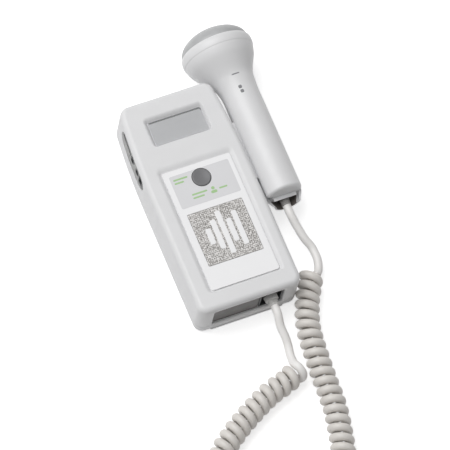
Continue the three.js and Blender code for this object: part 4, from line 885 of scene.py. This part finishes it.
def trough(name, outer, inner, drop):
    """The open trough that the lower shell runs on into round the cord's boot, narrower at its end."""
    last = len(TROUGH.outline) - 1
    rings = [(r, y, 1 - TROUGH.end_thin * i / last) for i, (r, y) in enumerate(TROUGH.outline)]
    profile = [(r - inner * thin, y) for r, y, thin in rings]
    profile += [(r - outer * thin, y) for r, y, thin in reversed(rings)]
    wall = turned(name, profile, "y", (PROBE.x, PROBE.z), 96, closed=True)
    top = PROBE.z - drop
    return combine(wall, [bar("z", TROUGH.around, top, top + TROUGH.height, 1)])


def rail_room(y0, y1, half_height, end_x):
    """The cutter for a part of the rail, in from the unit's side."""
    room = half_height + GAP
    return bar("x", (y0, y1, PROBE.z - room, PROBE.z + room), RAIL.cut_x, end_x, 0.2)


def lower_cutters():
    """What only the lower half has cut out: the bay, room for the rail's head and the screws' wells."""
    cutters = [bar("y", BAY.bounds, BAY.back_y, PROBE.end_y - 1, 0.8)]
    trough_end = TROUGH.outline[-1][1]
    cutters.append(rail_room(trough_end - 1, RAIL.start_y, RAIL.head_half, RAIL.tip_x + GAP))
    return cutters + [screw_well(PROBE.x, y, PROBE_SCREW) for y in PROBE_SCREW.ys]


def probe_shells():
    seam = PROBE.seam_half
    slot_end = PROBE.x - PROBE.radius + RAIL.slot_depth
    halves = {"probe_upper": (-PROBE.far, seam), "probe_lower": (-seam, PROBE.far)}
    for half, (low, high) in halves.items():
        shell = probe_turned(half, probe_body())
        cutters = [bar("z", PROBE.around, PROBE.z + low, PROBE.z + high, 1)]
        cutters.append(rail_room(PROBE.end_y - 2, RAIL.end_y + GAP, RAIL.neck_half, slot_end))
        if half == "probe_lower":
            combine(shell, [trough("trough", 0, TROUGH.wall, TROUGH.drop)], "UNION")
            cutters += lower_cutters()
        combine(shell, cutters)
        shell.name = half + "_half"
        dress(shell, looks.probe, [half + "_shell"], "probe")


def trough_painted_shade():
    """A dark sheet lining the trough and the end wall above it, painted shade of the opening, and a strip of
    white label film along the opening's top, a painted highlight.
    """
    outer, inner = TROUGH.liner
    liner = trough("trough_painted_shade", TROUGH.wall + outer, TROUGH.wall + inner, TROUGH.liner_drop)
    dress(liner, looks.liner, body="probe")
    # A white strip along the opening's top edge: a painted highlight.
    lip = block("opening_painted_highlight", "y", PAINTED_HIGHLIGHT_LIP.bounds, PAINTED_HIGHLIGHT_LIP.sections, 0.4)
    dress(lip, looks.label, body="probe")


def probe_face():
    low, high = node_box("probe_face")
    seat = PROBE.rim_y + PROBE.rim_length
    root = low.y + FACE.root
    profile = [(0, root), (FACE.root_radius, root), (FACE.root_radius, seat - FACE.seat)]
    profile.append((FACE.radius, seat - FACE.seat))
    dome = seat + FACE.rise
    for angle in quarter(22):
        profile.append((FACE.radius * cos(angle), dome + (high.y - dome) * sin(angle)))
    dress(probe_turned("face_dome", profile), looks.face, ["probe_face"], "probe")


def over_neck(outline, x, y, out):
    """The point over x and y that lies out from the probe's top. outline is (y, radius) pairs, sorted."""
    radius = float(np.interp(y, *zip(*outline))) + out
    across = x - (PROBE.x - head_shift(y))
    return (x, y, PROBE.z + sqrt(radius * radius - across * across))


def neck_mark(name, outline, x0, x1, y, half_height, steps):
    """A thin patch over the neck from x0 to x1, with round ends."""
    rings = []
    for i in range(steps + 1):
        share = 2 * i / steps - 1
        x = x0 + (x1 - x0) * i / steps
        half = half_height * max(0.3, (1 - share**6) ** 0.5)
        corners = ((-half, -MARKS.sunk), (half, -MARKS.sunk), (half, MARKS.height), (-half, MARKS.height))
        rings.append([over_neck(outline, x, y + up, out) for up, out in corners])
    dress(loft(name, rings), looks.neck_mark, body="probe")


def neck_marks():
    """A short line and two dots printed on top of the probe's neck."""
    outline = sorted((y, r) for r, y in probe_outline())
    neck_mark("neck_line", outline, *MARKS.line)
    for number, dot in enumerate(MARKS.dots):
        neck_mark(f"neck_dot_{number + 1}", outline, *dot)


def probe_end():
    """The tray in the probe's end, the cord's boot in it and the probe's screws."""
    front = node_box("probe_bay")[0].y
    bounds = grown(BAY.bounds, -GAP)
    back = BAY.back_y - GAP
    tray = bar("y", bounds, front, back, 0.8, "probe_tray")
    combine(tray, [bar("y", grown(bounds, -BAY.wall), front - 5, back - BAY.back_wall, 0.6)])
    dress(tray, looks.dark, ["probe_bay"], "probe")
    low, high = node_box("probe_strain_relief")
    relief = boot("probe_boot", PROBE_BOOT, low.y, high.y, (PROBE_EXIT[0], PROBE_EXIT[2]))
    for number, y in enumerate(PROBE_SCREW.ys):
        screw(f"probe_screw_{number + 1}", "probe", PROBE.x, y, PROBE_SCREW)
    # The boot's darker rubber is painted shade.
    dress(relief, looks.probe_boot, ["probe_strain_relief"], "probe", 50)


# ---- lines ----
def smooth_route(points, steps):
    """Points along the centripetal Catmull-Rom curve through points."""
    control = [Vector(p) for p in points]
    control = [2 * control[0] - control[1]] + control + [2 * control[-1] - control[-2]]
    route = []
    for i in range(1, len(control) - 2):
        p0, p1, p2, p3 = control[i - 1 : i + 3]
        d0 = (p1 - p0).length ** 0.5
        d1 = (p2 - p1).length ** 0.5
        d2 = (p3 - p2).length ** 0.5
        start = ((p1 - p0) / d0 - (p2 - p0) / (d0 + d1) + (p2 - p1) / d1) * d1
        end = ((p2 - p1) / d1 - (p3 - p1) / (d1 + d2) + (p3 - p2) / d2) * d1
        for k in range(steps):
            t = k / steps
            a = 2 * t**3 - 3 * t**2 + 1
            b = t**3 - 2 * t**2 + t
            c = -2 * t**3 + 3 * t**2
            d = t**3 - t**2
            route.append(tuple(a * p1 + b * start + c * p2 + d * end))
    route.append(tuple(control[-2]))
    return route


def distances(points):
    """How far along a line of points each of them lies."""
    return np.concatenate(([0], np.cumsum(np.linalg.norm(np.diff(np.array(points), axis=0), axis=1))))


def line_at(line, along, places):
    """The line's points at those distances along it."""
    return np.stack([np.interp(places, along, line[:, k]) for k in range(3)], axis=-1)


def even_points(points, step):
    """The same line with points about that far apart."""
    along = distances(points)
    count = max(2, round(along[-1] / step))
    return line_at(np.array(points), along, np.linspace(0, along[-1], count + 1))


def softened(line, share, reach=11, span=5):
    """The line with the bend at that share of it eased, each point there the mean of its neighbours."""
    middle = round(share * (len(line) - 1))
    eased = line.copy()
    for i in range(middle - reach, middle + reach + 1):
        width = round(span * cos(pi / 2 * (i - middle) / reach))
        eased[i] = line[i - width : i + width + 1].mean(axis=0)
    return eased


def tube(name, line, radius, sides):
    """A tube round a line, its rings turned as little as possible along it, with flat ends."""
    forward = np.gradient(line, axis=0)
    forward /= np.linalg.norm(forward, axis=1)[:, None]
    normal = np.cross(forward[0], [0, 0, 1])
    turns = [2 * pi * i / sides for i in range(sides)]
    rings = []
    for place, direction in zip(line, forward):
        normal = normal - direction * np.dot(normal, direction)
        normal /= np.linalg.norm(normal)
        other = np.cross(direction, normal)
        rings.append([tuple(place + radius * (cos(t) * normal + sin(t) * other)) for t in turns])
    return loft(name, rings)


# ---- the cord ----
def coil_points():
    """The coil's centreline: curls of one pitch about a route over the table, straight at its ends."""
    dense = np.array(smooth_route([(x, y, CORD.coil_z) for x, y in COIL_ROUTE], CORD.route_steps))
    along = distances(dense)
    length = along[-1]
    curls = round(length / CORD.pitch) - 1
    total = 2 * pi * curls
    straight = CORD.diameter
    ramp = CORD.pitch
    end = length - 2 * straight
    winding = end - ramp
    points = []
    count = curls * CORD.curl_steps
    for i in range(count + 1):
        s = length * i / count
        t = min(max(s - straight, 0), end)
        angle = total * (t - ramp / 2) / winding
        if t < ramp:
            angle = total * t * t / (2 * ramp * winding)
        elif t > end - ramp:
            angle = total - total * (end - t) ** 2 / (2 * ramp * winding)
        places = [s, max(s - CORD.look, 0), min(s + CORD.look, length)]
        centre, before, after = line_at(dense, along, places)
        forward = (after - before) / np.linalg.norm(after - before)
        side = np.array([-forward[1], forward[0], 0])
        out = side * cos(angle) - np.array([0, 0, 1]) * sin(angle)
        points.append(tuple(centre + out * CORD.curl_radius))
    return points


def lead_points(exit_point, middle, coil_end, coil_next):
    """From just inside an exit, straight out and down, to just before the coil's end."""
    start = Vector(exit_point)
    end = Vector(coil_end)
    inward = (end - Vector(coil_next)).normalized()
    points = [start + Vector((0, -GAP, 0)), start + Vector((0, -CORD.diameter, 0))]
    points += [Vector(p) for p in middle]
    points += [end + inward * CORD.diameter, end + inward * GAP]
    inside = start + Vector((0, CORD.inside, 0))
    return [tuple(inside)] + smooth_route(points, CORD.lead_steps)


def curly_cord():
    """The whole cord as one tube between the unit and the probe: its two leads in a lighter colour, painted
    light, and its coil in a darker one, painted shade among the curls.
    """
    coil = coil_points()
    from_probe = lead_points(PROBE_EXIT, PROBE_LEAD, coil[0], coil[1])
    from_unit = lead_points(UNIT_EXIT, UNIT_LEAD, coil[-1], coil[-2])
    whole = from_probe + coil + from_unit[::-1]
    along = distances(whole)
    length = along[-1]
    first = along[len(from_probe) - 1] / length
    last = along[len(from_probe + coil) - 1] / length
    line = even_points(whole, CORD.step)
    line = softened(softened(line, first), last)
    jacket = tube("curly_cord", line, CORD.thickness / 2, CORD.sides)
    dress(jacket, looks.cord, ["probe_lead", "coil_cord", "unit_lead"], None, 60)
    # The leads get the lighter copy, painted light, and the coil keeps the darker one, painted shade.
    jacket.data.materials.append(looks.lead)
    for number, polygon in enumerate(jacket.data.polygons):
        share = (number // CORD.sides) / (len(line) - 1)
        if share < first + CORD.lead_over / length or share > last - CORD.far_lead_over / length:
            polygon.material_index = 1
    to_row(PROBE_EXIT)
    [to_row(p) for p in line]
    to_row(CORD.blend_from)
    to_row(CORD.blend_to)
    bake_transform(jacket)


# ---- the pieces that keep their CAD mesh ----
KEPT = {
    "board": "main_board probe_board",
    "steel": "battery_contact_low battery_contact_high speaker_frame speaker_magnet"
    " rail_screw_1 rail_screw_2",
    "cell": "battery_1 battery_2 battery_3",
    "cone": "speaker_cone",
    "display": "display_panel",
    "crystal": "transmit_crystal receive_crystal",
    "case": "dock_rail",
    "dark": "display_frame switch_body switch_plunger volume_pot cord_socket crystal_backing",
}


def dress_nodes():
    """Procedural finishes on the CAD nodes that still show."""
    for finish, names in KEPT.items():
        for name in names.split():
            node = nodes[name]
            paint(node, getattr(looks, finish))
            for polygon in node.data.polygons:
                polygon.material_index = 0


# ---- the studio ----
def add_camera():
    """The photograph's view: from above, to the left of the bottom end, turned about its own axis."""
    turn = Matrix.Identity(4)
    for angle, axis in ((CAMERA.azimuth, "Z"), (90 - CAMERA.elevation, "X"), (CAMERA.roll, "Z")):
        turn = turn @ Matrix.Rotation(radians(angle), 4, axis)
    data = bpy.data.cameras.new("camera")
    data.sensor_width = CAMERA.sensor
    data.lens = CAMERA.sensor * CAMERA.distance / CAMERA.width
    data.clip_end = CAMERA.clip_end
    camera = add_object("camera", data)
    place = to_row(CAMERA.target) + turn @ Vector((0, 0, CAMERA.distance))
    camera.matrix_world = Matrix.Translation(place) @ turn
    bpy.context.scene.camera = camera


def seen_directly(tree):
    """1 for rays from the camera and for what gloss and glass show, else 0."""
    path = tree.nodes.new("ShaderNodeLightPath")
    total = path.outputs["Is Camera Ray"]
    for ray in ("Is Glossy Ray", "Is Transmission Ray"):
        inputs = {0: total, 1: path.outputs[ray]}
        total = add_node(tree, "ShaderNodeMath", inputs, operation="MAXIMUM").outputs[0]
    return total


def add_floor():
    """The white table, a little brighter where it is seen than its light makes it."""
    bpy.ops.mesh.primitive_plane_add(size=FLOOR.side, location=(0, 0, -FLOOR.drop * MM))
    floor = bpy.context.object
    floor.name = "floor"
    made = new_material("floor")
    tree = made.node_tree
    inputs = {0: seen_directly(tree), 1: FLOOR.glow}
    glow = add_node(tree, "ShaderNodeMath", inputs, operation="MULTIPLY").outputs[0]
    values = {"Base Color": (*[FLOOR.grey] * 3, 1), "Roughness": FLOOR.roughness}
    values.update({"Emission Color": WHITE, "Emission Strength": glow})
    fill(tree, tree.nodes["Principled BSDF"], values)
    floor.data.materials.append(made)


def add_light():
    """A white world, bright only where it is seen, and one large lamp from the upper left."""
    world = bpy.data.worlds.new("studio")
    bpy.context.scene.world = world
    world.use_nodes = True
    tree = world.node_tree
    inputs = {"Value": seen_directly(tree), "To Min": STUDIO.world, "To Max": 1}
    strength = add_node(tree, "ShaderNodeMapRange", inputs).outputs["Result"]
    fill(tree, tree.nodes["Background"], {"Color": WHITE, "Strength": strength})
    data = bpy.data.lights.new("softbox", "AREA")
    data.shape = "SQUARE"
    data.size = STUDIO.lamp_side
    place = Vector(STUDIO.lamp_place)
    data.energy = STUDIO.lamp * place.length_squared
    lamp = add_object("softbox", data)
    lamp.location = place
    lamp.rotation_euler = place.to_track_quat("Z", "Y").to_euler()


add_camera()
bpy.context.scene.view_settings.view_transform = "Standard"
add_floor()
add_light()
curly_cord()
case_front()
case_back()
battery_door()
window_glass()
label_overlay()
printed_marks()
speaker_grille()
power_button()
side_controls()
end_plate()
cord_bay()
unit_boot()
probe_shells()
trough_painted_shade()
probe_face()
neck_marks()
probe_end()
dress_nodes()
